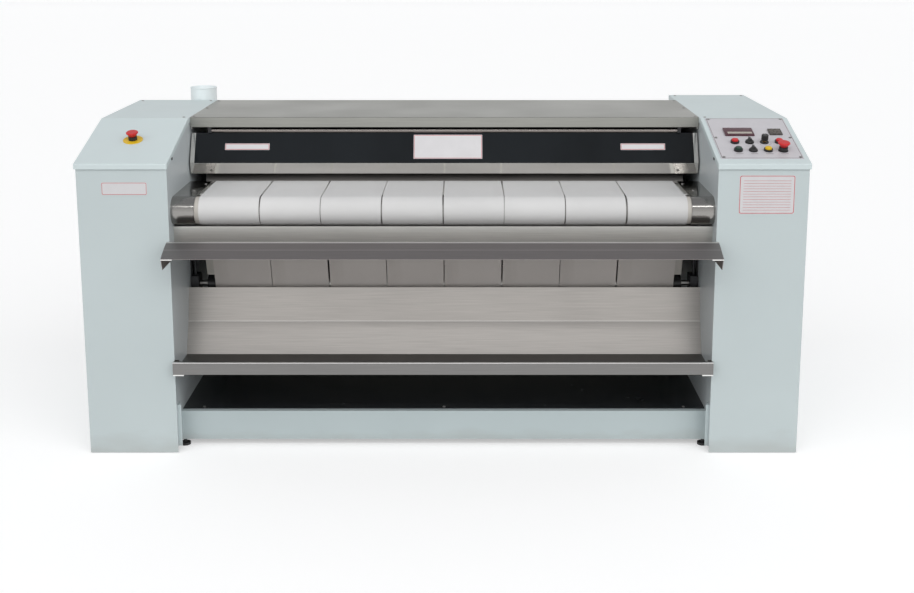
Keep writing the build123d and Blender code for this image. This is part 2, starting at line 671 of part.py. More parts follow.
def lid(side, depth):
    """Cabinet lid: sloping front and flat top, with lips all round."""
    path = lid_path(depth)
    crest = (SLOPE_DEPTH, TOP - LID_LIP)
    edges = rounded([(FRONT_Y + d, h) for d, h in path], [BEND + LID_SHEET] * 3)
    edges += [Line((FRONT_Y + a, b), (FRONT_Y + c, d)) for (a, b), (c, d) in ((path[4], crest), (crest, path[0]))]
    cover = across(make_face(Curve() + edges), side * LID_INNER_X, side * (OUTER_X + LID_OVERHANG))
    under = Vector(0, FRONT_Y + crest[0], crest[1])
    rims = [
        e
        for face in cover.faces().filter_by(Axis.X)
        for e in face.edges()
        if all((Vector(0, v.Y, v.Z) - under).length > 1 for v in e.vertices())
    ]
    cover = fillet(rims, LID_EDGE)
    inside = shifted(path, -LID_SHEET)
    void = [(inside[0][0], 0)] + inside[1:4] + [(inside[4][0], 0)]
    inner_x, outer_x = LID_INNER_X + LID_SHEET, OUTER_X + LID_OVERHANG - LID_SHEET
    cover -= across(outline(void), side * inner_x, side * outer_x)
    for place in lid_screw_places(side, depth):
        cover -= hole(place, SCREW_HOLE)
    if side > 0:
        for name in CONTROLS:
            cover -= hole(control_place(name), SLEEVE_RADIUS + SLEEVE_CLEARANCE)
        for place in panel_screw_places():
            cover -= hole(place, SCREW_HOLE)
    else:
        cover -= hole(STOP_LEFT_PLACE, SLEEVE_RADIUS + SLEEVE_CLEARANCE)
    return cover


def top_hood():
    """Brushed steel cover over the drum between the two lids."""
    path = [
        (HOOD_FRONT, TOP - HOOD_FLANGE),
        (HOOD_FRONT, TOP),
        (LEFT_DEPTH, TOP),
        (LEFT_DEPTH, TOP - HOOD_REAR_FLANGE),
    ]
    cover = bent_sheet(path, -SHEET, -HOOD_X, HOOD_X)
    for place in hood_screw_places():
        cover -= hole(place, SCREW_HOLE)
    return cover


def hood_rail(side):
    """Folded rail on the side frame that carries the hood's edge."""
    wall, under = side * WALL_X, TOP - SHEET
    shelf_top = TOP - LID_LIP - SHEET
    reach = wall - side * HOOD_RAIL_REACH
    path = [
        (wall, shelf_top - HOOD_RAIL_LEG),
        (wall, shelf_top),
        (reach, shelf_top),
        (reach, under - HOOD_RAIL_SHEET),
        (reach + side * HOOD_RAIL_RETURN, under - HOOD_RAIL_SHEET),
    ]
    face = sheet_face(path, side * HOOD_RAIL_SHEET)
    start, end = HOOD_FRONT + HOOD_RAIL_START, LEFT_DEPTH - HOOD_RAIL_END
    rail = extrude(Plane.XZ.offset(-(FRONT_Y + start)) * face, amount=-(end - start))
    for place in hood_screw_places():
        rail -= hole(place, SCREW_HOLE)
    return rail


def rear_panel():
    back = LEFT_DEPTH - SHEET - GAP
    low, high = BASE_FLOOR + REAR_PANEL_GAP, TOP - HOOD_REAR_FLANGE - 2
    path = [(back - REAR_PANEL_FLANGE, high), (back, high), (back, low), (back - REAR_PANEL_FLANGE, low)]
    return bent_sheet(path, -SHEET, -WALL_X, WALL_X)


def base_rails():
    """Box rails between the side frames and short corner angles at their front ends."""
    rails = []
    for low in (RAIL_DEPTH, LEFT_DEPTH - REAR_RAIL_INSET):
        heights = (RAIL_BOTTOM, BASE_FLOOR)
        rail = block((-WALL_X, WALL_X), (low, low + RAIL_THICKNESS), heights)
        inner = (low + RAIL_WALL, low + RAIL_THICKNESS - RAIL_WALL)
        rails.append(rail - block((-WALL_X, WALL_X), inner, (heights[0] + RAIL_WALL, heights[1] - RAIL_WALL)))
    for side in (-1, 1):
        x = side * WALL_X
        heights = (RAIL_BOTTOM, BASE_FLOOR + ANGLE_RISE)
        angle = block((x, x - side * ANGLE_LEGS[0]), (ANGLE_DEPTH, ANGLE_DEPTH + RAIL_WALL), heights)
        angle += block((x, x - side * RAIL_WALL), (ANGLE_DEPTH, ANGLE_DEPTH + ANGLE_LEGS[1]), heights)
        rails.append(angle)
    return rails


def feet():
    """Levelling feet, each a disc with a threaded stem."""
    places = []
    for side, depth in ((-1, LEFT_DEPTH), (1, RIGHT_DEPTH)):
        for d in (FOOT_CORNER[1], depth - FOOT_CORNER[1]):
            places.append((side * (OUTER_X - FOOT_CORNER[0]), d))
        for d in (RAIL_DEPTH, LEFT_DEPTH - REAR_RAIL_INSET):
            places.append((side * (WALL_X - FOOT_INSET), d + RAIL_THICKNESS / 2))
    return [post(FOOT_RADIUS, x, d, 0, FOOT_DISC) + post(FOOT_STEM, x, d, 0, RAIL_BOTTOM) for x, d in places]


def base_tray():
    path = [
        (BASE_FRONT, BASE_FLOOR - BASE_LIP),
        (BASE_FRONT, BASE_FLOOR + SHEET),
        (LEFT_DEPTH - RAIL_THICKNESS, BASE_FLOOR + SHEET),
        (LEFT_DEPTH - RAIL_THICKNESS, BASE_FLOOR + BASE_LIP),
    ]
    tray = bent_sheet(path, -SHEET, -WALL_X, WALL_X)
    for place in base_screw_places():
        tray -= hole(place, SCREW_HOLE)
    return tray


# ---- front sheets --------------------------------------------------------------------------------
def feed_bed():
    """Plate under the feed belts' upper run."""
    top = FEED_TOP - BELT - GAP - 0.1
    front = NOSE_DEPTH + NOSE_RADIUS + BED_INSET
    back = FEED_REAR_DEPTH - FEED_REAR_RADIUS - BED_INSET
    path = [(front, top - BED_LIP), (front, top), (back, top), (back, top - BED_LIP)]
    bed = bent_sheet(path, -SHEET, -WALL_X, WALL_X)
    for place in nose_screw_places(-1) + nose_screw_places(1):
        bed -= hole(place, SCREW_HOLE)
    return bed


def nose_end_guard(side):
    """Polished sheet that wraps the nose roller's end, flush with the belts."""
    reach = NOSE_RADIUS + GAP + BELT
    y = FRONT_Y + NOSE_DEPTH
    back_y = FRONT_Y + FEED_REAR_DEPTH - BED_INSET
    low_y = y + NOSE_RADIUS - 3
    thin = reach - SHEET
    edges = [
        Line((back_y, NOSE_HEIGHT + reach), (y, NOSE_HEIGHT + reach)),
        ThreePointArc((y, NOSE_HEIGHT + reach), (y - reach, NOSE_HEIGHT), (y, NOSE_HEIGHT - reach)),
        Line((y, NOSE_HEIGHT - reach), (low_y, NOSE_HEIGHT - reach)),
        Line((low_y, NOSE_HEIGHT - reach), (low_y, NOSE_HEIGHT - thin)),
        Line((low_y, NOSE_HEIGHT - thin), (y, NOSE_HEIGHT - thin)),
        ThreePointArc((y, NOSE_HEIGHT - thin), (y - thin, NOSE_HEIGHT), (y, NOSE_HEIGHT + thin)),
        Line((y, NOSE_HEIGHT + thin), (back_y, NOSE_HEIGHT + thin)),
        Line((back_y, NOSE_HEIGHT + thin), (back_y, NOSE_HEIGHT + reach)),
    ]
    guard = across(make_face(Curve() + edges), side * (BELTS_X + NOSE_OVERHANG + 0.5), side * WALL_X)
    for place in nose_screw_places(side):
        guard -= hole(place, SCREW_HOLE)
    return guard


def nose_screw_places(side):
    top = NOSE_HEIGHT + NOSE_RADIUS + GAP + BELT
    places = []
    for x, d in ((WALL_X - 50, NOSE_DEPTH + 90), (WALL_X - 66, FEED_REAR_DEPTH - 60)):
        places.append(Pos(side * x, FRONT_Y + d, top))
    return places


def front_apron():
    low = SHELF_ROOT_HEIGHT - SCREW_EDGE
    path = [
        (APRON_DEPTH + APRON_FLANGE, APRON_TOP),
        (APRON_DEPTH, APRON_TOP),
        (APRON_DEPTH, low),
        (APRON_DEPTH + APRON_FOOT, low),
    ]
    return bent_sheet(path, SHEET, -WALL_X, WALL_X)


def feed_shelf():
    """Projecting shelf below the nose, with an end plate that hangs below its lip at both sides."""
    root = SHELF_ROOT_HEIGHT
    path = [
        (APRON_DEPTH, root),
        (SHELF_EDGE_BACK - SHELF_REACH, root + SHELF_EDGE_RISE),
        (SHELF_CREASE_BACK - SHELF_REACH, root + SHELF_CREASE_RISE),
        (-SHELF_REACH, root - SHELF_LIP_BELOW),
    ]
    shelf = bent_sheet(path, LID_SHEET, -WALL_X, WALL_X)
    inner = shifted(path, LID_SHEET / 2)
    corner = (SHELF_CORNER_BACK - SHELF_REACH, root - SHELF_CORNER_BELOW)
    for side in (-1, 1):
        ends = outline(inner + [corner, (APRON_DEPTH, root - SHELF_CORNER_BELOW)])
        shelf += across(ends, side * (WALL_X - LID_SHEET), side * WALL_X)
    return shelf


def return_chute():
    """Satin steel slide from the belts down to the linen tray."""
    path = [CHUTE_TOP, CHUTE_CREASE, (TRAY_BACK, TRAY_FLOOR + 1)]
    return bent_sheet(path, SHEET, -WALL_X, WALL_X)


def linen_tray():
    path = [
        (TRAY_BACK + TRAY_UNDER_CHUTE, TRAY_FLOOR),
        (TRAY_FRONT, TRAY_FLOOR),
        (TRAY_FRONT, TRAY_FLOOR + TRAY_LIP),
        (TRAY_FRONT + TRAY_HEM, TRAY_FLOOR + TRAY_LIP),
    ]
    tray = bent_sheet(path, SHEET, -WALL_X, WALL_X)
    for side in (-1, 1):
        low, high, back = TRAY_FLOOR - SHEET, TRAY_FLOOR + TRAY_LIP, TRAY_FRONT + TRAY_END
        slope = back - 3 * TRAY_END_HEIGHT
        ends = [(TRAY_FRONT, low), (back, low), (back, TRAY_FLOOR + TRAY_END_HEIGHT), (slope, high), (TRAY_FRONT, high)]
        tray += across(outline(ends), side * (WALL_X - SHEET), side * WALL_X)
    return tray


def edge_guide(side):
    """Cream strip beside the belts at the return, on a tab from the side frame."""
    top = (EXIT_DEPTH - GUIDE_TOP[0], EXIT_HEIGHT - GUIDE_TOP[1])
    foot = (LOWER_DEPTH - GUIDE_FOOT[0], LOWER_HEIGHT + GUIDE_FOOT[1])
    tab_foot = tuple(a + GUIDE_TAB * (b - a) for a, b in zip(top, foot))
    inner, outer = BELTS_X + GUIDE_GAP, BELTS_X + GUIDE_GAP + GUIDE_WIDTH
    strip = bent_sheet([top, foot], GUIDE_SHEET, side * inner, side * outer)
    tab = bent_sheet([top, tab_foot], GUIDE_SHEET, side * outer, side * WALL_X)
    return strip + tab


# ---- belts, rollers and drum ---------------------------------------------------------------------
FEED_WHEELS = [
    (NOSE_DEPTH, NOSE_HEIGHT, NOSE_RADIUS, 1),
    (FEED_REAR_DEPTH, FEED_REAR_HEIGHT, FEED_REAR_RADIUS, 1),
]
IRON_WHEELS = [
    (ENTRY_DEPTH, ENTRY_HEIGHT, ENTRY_RADIUS, 1),
    (DRUM_DEPTH, DRUM_HEIGHT, DRUM_RADIUS, -1),
    (EXIT_DEPTH, EXIT_HEIGHT, EXIT_RADIUS, 1),
    (LOWER_DEPTH, LOWER_HEIGHT, LOWER_RADIUS, 1),
    (REAR_LOWER_DEPTH, REAR_LOWER_HEIGHT, REAR_RADIUS, 1),
    (REAR_UPPER_DEPTH, REAR_UPPER_HEIGHT, REAR_RADIUS, 1),
]


def belts(wheels):
    places = [(i - (BELT_COUNT - 1) / 2) * BELT_PITCH for i in range(BELT_COUNT)]
    first = band(wheels, BELT, places[0] - BELT_WIDTH / 2, places[0] + BELT_WIDTH / 2)
    return [Pos(x - places[0], 0, 0) * first for x in places]


def roller_bearing(side, depth, height):
    """Square flange bearing on the outside of a side frame."""
    x = side * FRAME_X
    half = BEARING_SIDE / 2
    depths, heights = (depth - half, depth + half), (height - half, height + half)
    housing = block((x, x + side * BEARING_FLANGE), depths, heights)
    housing += bar(half - BEARING_FLANGE, x, x + side * BEARING_THICKNESS, depth, height)
    return housing - bar(ROLLER_PIN + FIT, x - side, x + side * (BEARING_THICKNESS + 1), depth, height)


def takeup_bearing(side):
    """Sliding belt tensioner block inside the opening, with its screw and bracket on the wall."""
    inner_x, outer_x = side * (WALL_X - TAKEUP_WALL_GAP - TAKEUP_THICKNESS), side * (WALL_X - TAKEUP_WALL_GAP)
    half = BEARING_SIDE / 2
    low, high = LOWER_HEIGHT - half, LOWER_HEIGHT + half
    slide = (LOWER_DEPTH - TAKEUP_SLOT, LOWER_DEPTH + TAKEUP_SLOT)
    stop = high + TAKEUP_TRAVEL + PLATE
    holder = block((inner_x, outer_x), (LOWER_DEPTH - half, LOWER_DEPTH + half), (low, high))
    holder += block((outer_x, side * WALL_X), slide, (low - 2 * PLATE, stop))
    holder += block((side * (WALL_X - TAKEUP_SLOT), side * WALL_X), slide, (high + TAKEUP_TRAVEL, stop))
    holder += post(TAKEUP_SCREW, side * (WALL_X - TAKEUP_THICKNESS / 2), LOWER_DEPTH, high, stop + 2 * PLATE)
    return holder - bar(ROLLER_PIN + FIT, inner_x - side, side * (WALL_X + 1), LOWER_DEPTH, LOWER_HEIGHT)


def drum_bearing(side):
    x = side * FRAME_X
    half = DRUM_BEARING_SIDE / 2
    depths, heights = (DRUM_DEPTH - half, DRUM_DEPTH + half), (DRUM_HEIGHT - half, DRUM_HEIGHT + half)
    housing = block((x, x + side * DRUM_BEARING_FLANGE), depths, heights)
    housing += bar(half - DRUM_BEARING_FLANGE, x, x + side * DRUM_BEARING_THICKNESS, DRUM_DEPTH, DRUM_HEIGHT)
    end = x + side * (DRUM_BEARING_THICKNESS + 1)
    return housing - bar(JOURNAL_RADIUS + FIT, x - side, end, DRUM_DEPTH, DRUM_HEIGHT)


def drum_shell():
    shell = bar(DRUM_RADIUS, -DRUM_X, DRUM_X, DRUM_DEPTH, DRUM_HEIGHT)
    return shell - bar(DRUM_RADIUS - DRUM_WALL, -DRUM_X, DRUM_X, DRUM_DEPTH, DRUM_HEIGHT)


def drum_end(side):
    """End disc with round openings and a hollow journal."""
    face_x, inner_x = side * (DRUM_X - 5), side * (DRUM_X - 17)
    end = bar(DRUM_RADIUS - DRUM_WALL - FIT, inner_x, face_x, DRUM_DEPTH, DRUM_HEIGHT)
    end += bar(JOURNAL_RADIUS + 20, face_x, side * (DRUM_X + 20), DRUM_DEPTH, DRUM_HEIGHT)
    end += bar(JOURNAL_RADIUS, face_x, side * (FRAME_X + JOURNAL_REACH), DRUM_DEPTH, DRUM_HEIGHT)
    end -= bar(JOURNAL_BORE, inner_x - side, side * (FRAME_X + JOURNAL_REACH + 1), DRUM_DEPTH, DRUM_HEIGHT)
    for i in range(6):
        d = DRUM_DEPTH + DRUM_RADIUS * 0.6 * cos(pi * i / 3)
        h = DRUM_HEIGHT + DRUM_RADIUS * 0.6 * sin(pi * i / 3)
        end -= bar(DRUM_RADIUS * 0.14, inner_x - side, face_x + side, d, h)
    return end


def heater_bundle():
    """Fixed heater inside the drum: a carrier tube on two brackets, spiders and heating rods."""
    reach = HEATER_X + 20
    carrier = bar(CARRIER_RADIUS, -reach, reach, DRUM_DEPTH, DRUM_HEIGHT)
    for x in (-SPIDER_SPACING, 0, SPIDER_SPACING):
        half = SPIDER_THICKNESS / 2
        carrier += bar(SPIDER_RADIUS, x - half, x + half, DRUM_DEPTH, DRUM_HEIGHT)
    carrier -= bar(CARRIER_RADIUS - CARRIER_WALL, -reach, reach, DRUM_DEPTH, DRUM_HEIGHT)
    rods = []
    for i in range(ELEMENT_COUNT):
        angle = 2 * pi * i / ELEMENT_COUNT
        d = DRUM_DEPTH + ELEMENT_CIRCLE * cos(angle)
        h = DRUM_HEIGHT + ELEMENT_CIRCLE * sin(angle)
        rods.append(bar(ELEMENT_RADIUS, -BELTS_X, BELTS_X, d, h))
        carrier -= bar(ELEMENT_RADIUS + FIT, -BELTS_X, BELTS_X, d, h)
    return [carrier] + rods + [heater_bracket(side) for side in (-1, 1)]


def heater_bracket(side):
    """Arm behind the sprocket that holds the carrier tube, on two posts from the side frame."""
    post_d, low, high = DRUM_DEPTH + HEATER_POST_DEPTH, DRUM_HEIGHT - HEATER_POST_RISE, DRUM_HEIGHT + HEATER_POST_RISE
    points = [
        (DRUM_DEPTH - 30, DRUM_HEIGHT - 25),
        (post_d - 20, DRUM_HEIGHT - 25),
        (post_d - 20, low - 20),
        (post_d + 20, low - 20),
        (post_d + 20, high + 20),
        (post_d - 20, high + 20),
        (post_d - 20, DRUM_HEIGHT + 25),
        (DRUM_DEPTH - 30, DRUM_HEIGHT + 25),
    ]
    arm = across(outline(points), side * HEATER_X, side * (HEATER_X + 6))
    for h in (low, high):
        arm += bar(8, side * FRAME_X, side * HEATER_X, post_d, h)
    return arm - bar(CARRIER_RADIUS + FIT, side * (HEATER_X - 1), side * (HEATER_X + 7), DRUM_DEPTH, DRUM_HEIGHT)


# ---- drive ---------------------------------------------------------------------------------------
GEARBOX_X = FRAME_X + GEARBOX_OFFSET


def gearbox():
    """Worm gearbox with a hollow output, and the pedestal that carries it."""
    width, long, tall = GEARBOX_SIZE
    xs = (GEARBOX_X, GEARBOX_X + width)
    ds = (DRUM_DEPTH - long / 2, DRUM_DEPTH + long / 2)
    hs = (GEARBOX_HEIGHT - tall / 2, GEARBOX_HEIGHT + tall / 2)
    box = block(xs, ds, hs)
    box = fillet(box.edges().filter_by(Axis.X), 14)
    box -= bar(OUTPUT_RADIUS + FIT, xs[0] - 1, xs[1] + 1, DRUM_DEPTH, GEARBOX_HEIGHT)
    stand = block(xs, ds, (RAIL_BOTTOM + FLOOR_PAN, hs[0]))
    stand -= block((xs[0] + 5, xs[1] - 5), (ds[0] - 1, ds[1] + 1), (RAIL_BOTTOM, hs[0] - 6))
    return [box, stand]


def gear_motor():
    """Electric motor with cooling ribs, end cowl and terminal box, on the gearbox's rear face."""
    x = GEARBOX_X + GEARBOX_SIZE[0] / 2
    start = DRUM_DEPTH + GEARBOX_SIZE[1] / 2
    motor = bar_back(MOTOR_RADIUS - 6, x, start + 10, start + MOTOR_LENGTH - 40, GEARBOX_HEIGHT)
    motor += bar_back(MOTOR_RADIUS, x, start, start + 12, GEARBOX_HEIGHT)
    motor += bar_back(MOTOR_RADIUS, x, start + MOTOR_LENGTH - 50, start + MOTOR_LENGTH, GEARBOX_HEIGHT)
    for i in range(16):
        rib = Pos(MOTOR_RADIUS - 5, 0, 0) * Box(8, 2.5, MOTOR_LENGTH - 60)
        place = Pos(x, FRONT_Y + start + MOTOR_LENGTH / 2 - 20, GEARBOX_HEIGHT) * Rot(-90, 0, 0)
        motor += place * Rot(0, 0, 22.5 * i) * rib
    motor += block((x - 35, x + 35), (start + 40, start + 130), (GEARBOX_HEIGHT + 40, GEARBOX_HEIGHT + 96))
    return motor


def drive_sprocket():
    """Small sprocket on the gearbox's output shaft."""
    wheel = sprocket(DRIVE_TEETH, SPROCKET_X, DRUM_DEPTH, GEARBOX_HEIGHT, OUTPUT_RADIUS - 1)
    end = GEARBOX_X + GEARBOX_SIZE[0] + 6
    wheel = wheel - bar(60, SPROCKET_X + SPROCKET_THICKNESS / 2 + 8, SPROCKET_X + 60, DRUM_DEPTH, GEARBOX_HEIGHT)
    return wheel + bar(OUTPUT_RADIUS, SPROCKET_X - 12, end, DRUM_DEPTH, GEARBOX_HEIGHT)


def chains():
    drive = chain(DRIVEN_TEETH, (DRUM_DEPTH, DRUM_HEIGHT), DRIVE_TEETH, (DRUM_DEPTH, GEARBOX_HEIGHT), SPROCKET_X)
    feed = chain(FEED_BIG_TEETH, (DRUM_DEPTH, DRUM_HEIGHT), FEED_SMALL_TEETH, (NOSE_DEPTH, NOSE_HEIGHT), -SPROCKET_X)
    return [drive, feed]


def drum_sprockets():
    big = sprocket(DRIVEN_TEETH, SPROCKET_X, DRUM_DEPTH, DRUM_HEIGHT, JOURNAL_RADIUS + FIT)
    feed = sprocket(FEED_BIG_TEETH, -SPROCKET_X, DRUM_DEPTH, DRUM_HEIGHT, JOURNAL_RADIUS + FIT)
    return [big, feed]


def nose_roller():
    """Front feed roller; its left pin is long and carries the small feed sprocket."""
    body = roller(NOSE_RADIUS, BELTS_X + NOSE_OVERHANG, FRAME_X + BEARING_THICKNESS + 4, NOSE_DEPTH, NOSE_HEIGHT)
    body += bar(ROLLER_PIN, -FRAME_X, -(SPROCKET_X + 24), NOSE_DEPTH, NOSE_HEIGHT)
    return body + sprocket(FEED_SMALL_TEETH, -SPROCKET_X, NOSE_DEPTH, NOSE_HEIGHT, ROLLER_PIN - 1)


def electrics_box():
    """Switch cabinet on the right side frame with its cover and three contactors inside."""
    wide, long, tall = ELECTRICS_SIZE
    xs, ds = (FRAME_X, FRAME_X + wide), (ELECTRICS_DEPTH, ELECTRICS_DEPTH + long)
    hs = (ELECTRICS_HEIGHT, ELECTRICS_HEIGHT + tall)
    wall = ELECTRICS_WALL
    box = block(xs, ds, hs)
    box -= block((xs[0] + wall, xs[1] + 1), (ds[0] + wall, ds[1] - wall), (hs[0] + wall, hs[1] - wall))
    cover = block((xs[1], xs[1] + wall), ds, hs)
    inside = []
    for i in range(CONTACTOR_COUNT):
        low = hs[0] + CONTACTOR_INSET[1] + i * CONTACTOR_PITCH
        start = ds[0] + CONTACTOR_INSET[0]
        size = CONTACTOR_SIZE
        inside.append(block((xs[0] + wall, xs[0] + wall + size[0]), (start, start + size[1]), (low, low + size[2])))
    return [box, cover] + inside


# ---- fume blower ---------------------------------------------------------------------------------
def scroll_outer(extra, cap):
    """Scroll casing's body grown or shrunk by extra, with end faces moved in by cap."""
    ds = (LEFT_DEPTH + cap, LEFT_DEPTH + SCROLL_DEPTH - cap)
    body = bar_back(SCROLL_RADIUS + extra, SCROLL_X, *ds, SCROLL_HEIGHT)
    width = STACK_RADIUS + extra
    return body + block((STACK_X - width, STACK_X + width), ds, (SCROLL_HEIGHT, SCROLL_TOP + extra))


def blower_housing():
    housing = scroll_outer(0, 0) - scroll_outer(-SCROLL_WALL, SCROLL_WALL)
    housing -= bar_back(INLET_RADIUS, SCROLL_X, LEFT_DEPTH - 5, LEFT_DEPTH + 5, SCROLL_HEIGHT)
    back = LEFT_DEPTH + SCROLL_DEPTH
    housing -= bar_back(FAN_SHAFT + 4, SCROLL_X, back - 5, back + 5, SCROLL_HEIGHT)
    return housing - post(STACK_RADIUS - STACK_WALL, STACK_X, STACK_DEPTH, SCROLL_TOP - 5, SCROLL_TOP + 5)


def fume_stack():
    """Round spigot for the exhaust hose, with a rolled bead at its top."""
    pipe = post(STACK_RADIUS, STACK_X, STACK_DEPTH, SCROLL_TOP, STACK_TOP)
    return pipe - post(STACK_RADIUS - STACK_WALL, STACK_X, STACK_DEPTH, SCROLL_TOP - 1, STACK_TOP + 1)


def blower_impeller():
    """Back disc with forward blades, front ring and shaft."""
    front, back = LEFT_DEPTH + 14, LEFT_DEPTH + SCROLL_DEPTH - 34
    wheel = bar_back(IMPELLER_RADIUS, SCROLL_X, back, back + 3, SCROLL_HEIGHT)
    ring = bar_back(IMPELLER_RADIUS, SCROLL_X, front, front + 3, SCROLL_HEIGHT)
    wheel += ring - bar_back(IMPELLER_RADIUS - 18, SCROLL_X, front - 1, front + 4, SCROLL_HEIGHT)
    place = Pos(SCROLL_X, FRONT_Y + (front + back) / 2, SCROLL_HEIGHT) * Rot(-90, 0, 0)
    for i in range(BLADE_COUNT):
        blade = Pos(IMPELLER_RADIUS - 10, 0, 0) * Rot(0, 0, 35) * Box(15, 1.5, back - front)
        wheel += place * Rot(0, 0, 360 * i / BLADE_COUNT) * blade
    wheel += bar_back(16, SCROLL_X, back - 20, back + 12, SCROLL_HEIGHT)
    return wheel + bar_back(FAN_SHAFT, SCROLL_X, back, LEFT_DEPTH + SCROLL_DEPTH + 26, SCROLL_HEIGHT)


def fan_motor():
    start = LEFT_DEPTH + SCROLL_DEPTH
    motor = bar_back(FAN_MOTOR_RADIUS, SCROLL_X, start, start + FAN_MOTOR_LENGTH, SCROLL_HEIGHT)
    motor = fillet(motor.edges().group_by(Axis.Y)[-1], 8)
    return motor - bar_back(FAN_SHAFT + FIT, SCROLL_X, start - 1, start + 30, SCROLL_HEIGHT)


# ---- finger guard --------------------------------------------------------------------------------
def guard_frame():
    """Polished sheet with a window, raised side strips and the hinge rod at its top."""
    path = [GUARD_TOP, GUARD_BEND, GUARD_BOTTOM]
    frame = bent_sheet(path, GUARD_SHEET, -GUARD_X, GUARD_X)
    rise = shifted([GUARD_TOP, GUARD_BEND], -GLASS)
    strip = outline([GUARD_TOP, GUARD_BEND, rise[1], rise[0]])
    for side in (-1, 1):
        frame += across(strip, side * (GLASS_X + GAP), side * GUARD_X)
    back = shifted([GUARD_TOP, GUARD_BEND], 20)
    front = shifted([GUARD_TOP, GUARD_BEND], -20)
    window_half = GLASS_X - GLASS_SEAT
    along = [0.12, 0.88]

    def between(pair, share):
        return tuple(a + share * (b - a) for a, b in zip(*pair))

    window = [between(back, along[0]), between(back, along[1]), between(front, along[1]), between(front, along[0])]
    frame -= across(outline(window), -window_half, window_half)
    rod_x = HINGE_HALF - HINGE_BLOCK - 0.5
    frame += bar(HINGE_RADIUS, -rod_x, rod_x, HINGE_DEPTH, HINGE_HEIGHT)
    frame += bar(HINGE_PIN, -HINGE_HALF, HINGE_HALF, HINGE_DEPTH, HINGE_HEIGHT)
    sheet_back = shifted(path, GUARD_SHEET)[0]
    web = [GUARD_TOP, (HINGE_DEPTH, HINGE_HEIGHT), (HINGE_DEPTH + GUARD_SHEET, HINGE_HEIGHT), sheet_back]
    return frame + across(outline(web), -rod_x + 2, rod_x - 2)


def guard_panel():
    """Dark glossy pane on the frame's front."""
    rise = shifted([GUARD_TOP, GUARD_BEND], -GLASS)
    return across(outline([GUARD_TOP, GUARD_BEND, rise[1], rise[0]]), -GLASS_X, GLASS_X)


def guard_bracket(side):
    """Hinge block under the hood with the guard's limit switch beside it."""
    inner, outer = side * (HINGE_HALF - HINGE_BLOCK), side * HINGE_HALF
    under = TOP - SHEET
    ds = (HOOD_FRONT + SHEET + BEND + 0.1, HINGE_DEPTH + 15)
    plate = block((inner, outer), ds, (HINGE_HEIGHT - HINGE_PIN - 2, under))
    plate += block((inner, side * (HINGE_HALF + 22)), (HINGE_DEPTH - 4, HINGE_DEPTH + 15), (under - 24, under))
    return plate - bar(HINGE_PIN + FIT, inner - side, outer + side, HINGE_DEPTH, HINGE_HEIGHT)


# ---- controls ------------------------------------------------------------------------------------
def control_panel():
    plate = slope_place(CABINET_X, (PANEL_LOW + PANEL_HIGH) / 2, PANEL_SHEET / 2) * Box(
        PANEL_WIDTH, PANEL_HIGH - PANEL_LOW, PANEL_SHEET
    )
    for name in CONTROLS:
        plate -= hole(control_place(name), SLEEVE_RADIUS + SLEEVE_CLEARANCE)
    for place in panel_screw_places():
        plate -= hole(place, SCREW_HOLE)
    return plate


def switch_body(place, collar_inner, collar_outer, collar_height, base_radius):
    """Bezel, sleeve through the sheets and switch block behind them, bored for the stem."""
    body = disc(base_radius, BEZEL_BASE)
    body += disc(collar_outer, collar_height)
    body -= Pos(0, 0, BEZEL_BASE) * disc(collar_inner, collar_height)
    depth = PANEL_SHEET + LID_SHEET + 4
    body += Pos(0, 0, -depth) * disc(SLEEVE_RADIUS, depth)
    body += Pos(0, 0, -depth - BLOCK_HEIGHT / 2) * Box(BLOCK_SIDE, BLOCK_SIDE, BLOCK_HEIGHT)
    body -= Pos(0, 0, -STEM_LENGTH - BUTTON_TRAVEL - 2) * disc(STEM_RADIUS + FIT, STEM_LENGTH + 20)
    return place * body


def switch_bodies():
    bodies = []
    for name, (kind, _, _) in CONTROLS.items():
        place = control_place(name)
        if kind == "button":
            bodies.append(switch_body(place, BUTTON_RADIUS + 0.4, BEZEL_RADIUS, BEZEL_HEIGHT, BEZEL_RADIUS))
        elif kind == "stop":
            bodies.append(switch_body(place, STEM_RADIUS + 4, BEZEL_RADIUS, ESTOP_COLLAR_HEIGHT, BEZEL_RADIUS + 2))
        else:
            bodies.append(switch_body(place, STEM_RADIUS + 4, BEZEL_RADIUS, 3, BEZEL_RADIUS))
    return bodies


def left_stop_body():
    """Round plate of the emergency stop on the left lid, its collar and switch block."""
    return switch_body(STOP_LEFT_PLACE, STEM_RADIUS + 4, BEZEL_RADIUS, ESTOP_COLLAR_HEIGHT, ESTOP_DISC_RADIUS)


def button(place):
    base = BEZEL_BASE + BUTTON_TRAVEL + 0.5
    cap = Pos(0, 0, base) * disc(BUTTON_RADIUS, BUTTON_HEIGHT - BUTTON_TRAVEL)
    cap = fillet(cap.edges().group_by(Axis.Z)[-1], 1)
    return place * (cap + Pos(0, 0, base - STEM_LENGTH) * disc(STEM_RADIUS, STEM_LENGTH + 1))


def selector(place):
    """Round base with a raised finger bar."""
    base = CAP_RISE
    cap = Pos(0, 0, base) * disc(SELECTOR_RADIUS, 4)
    grip = Pos(0, 0, base + 4 + (SELECTOR_HEIGHT - 4) / 2) * Box(7, 2 * SELECTOR_RADIUS - 2, SELECTOR_HEIGHT - 4)
    return place * (cap + grip + Pos(0, 0, base - STEM_LENGTH) * disc(STEM_RADIUS, STEM_LENGTH + 1))


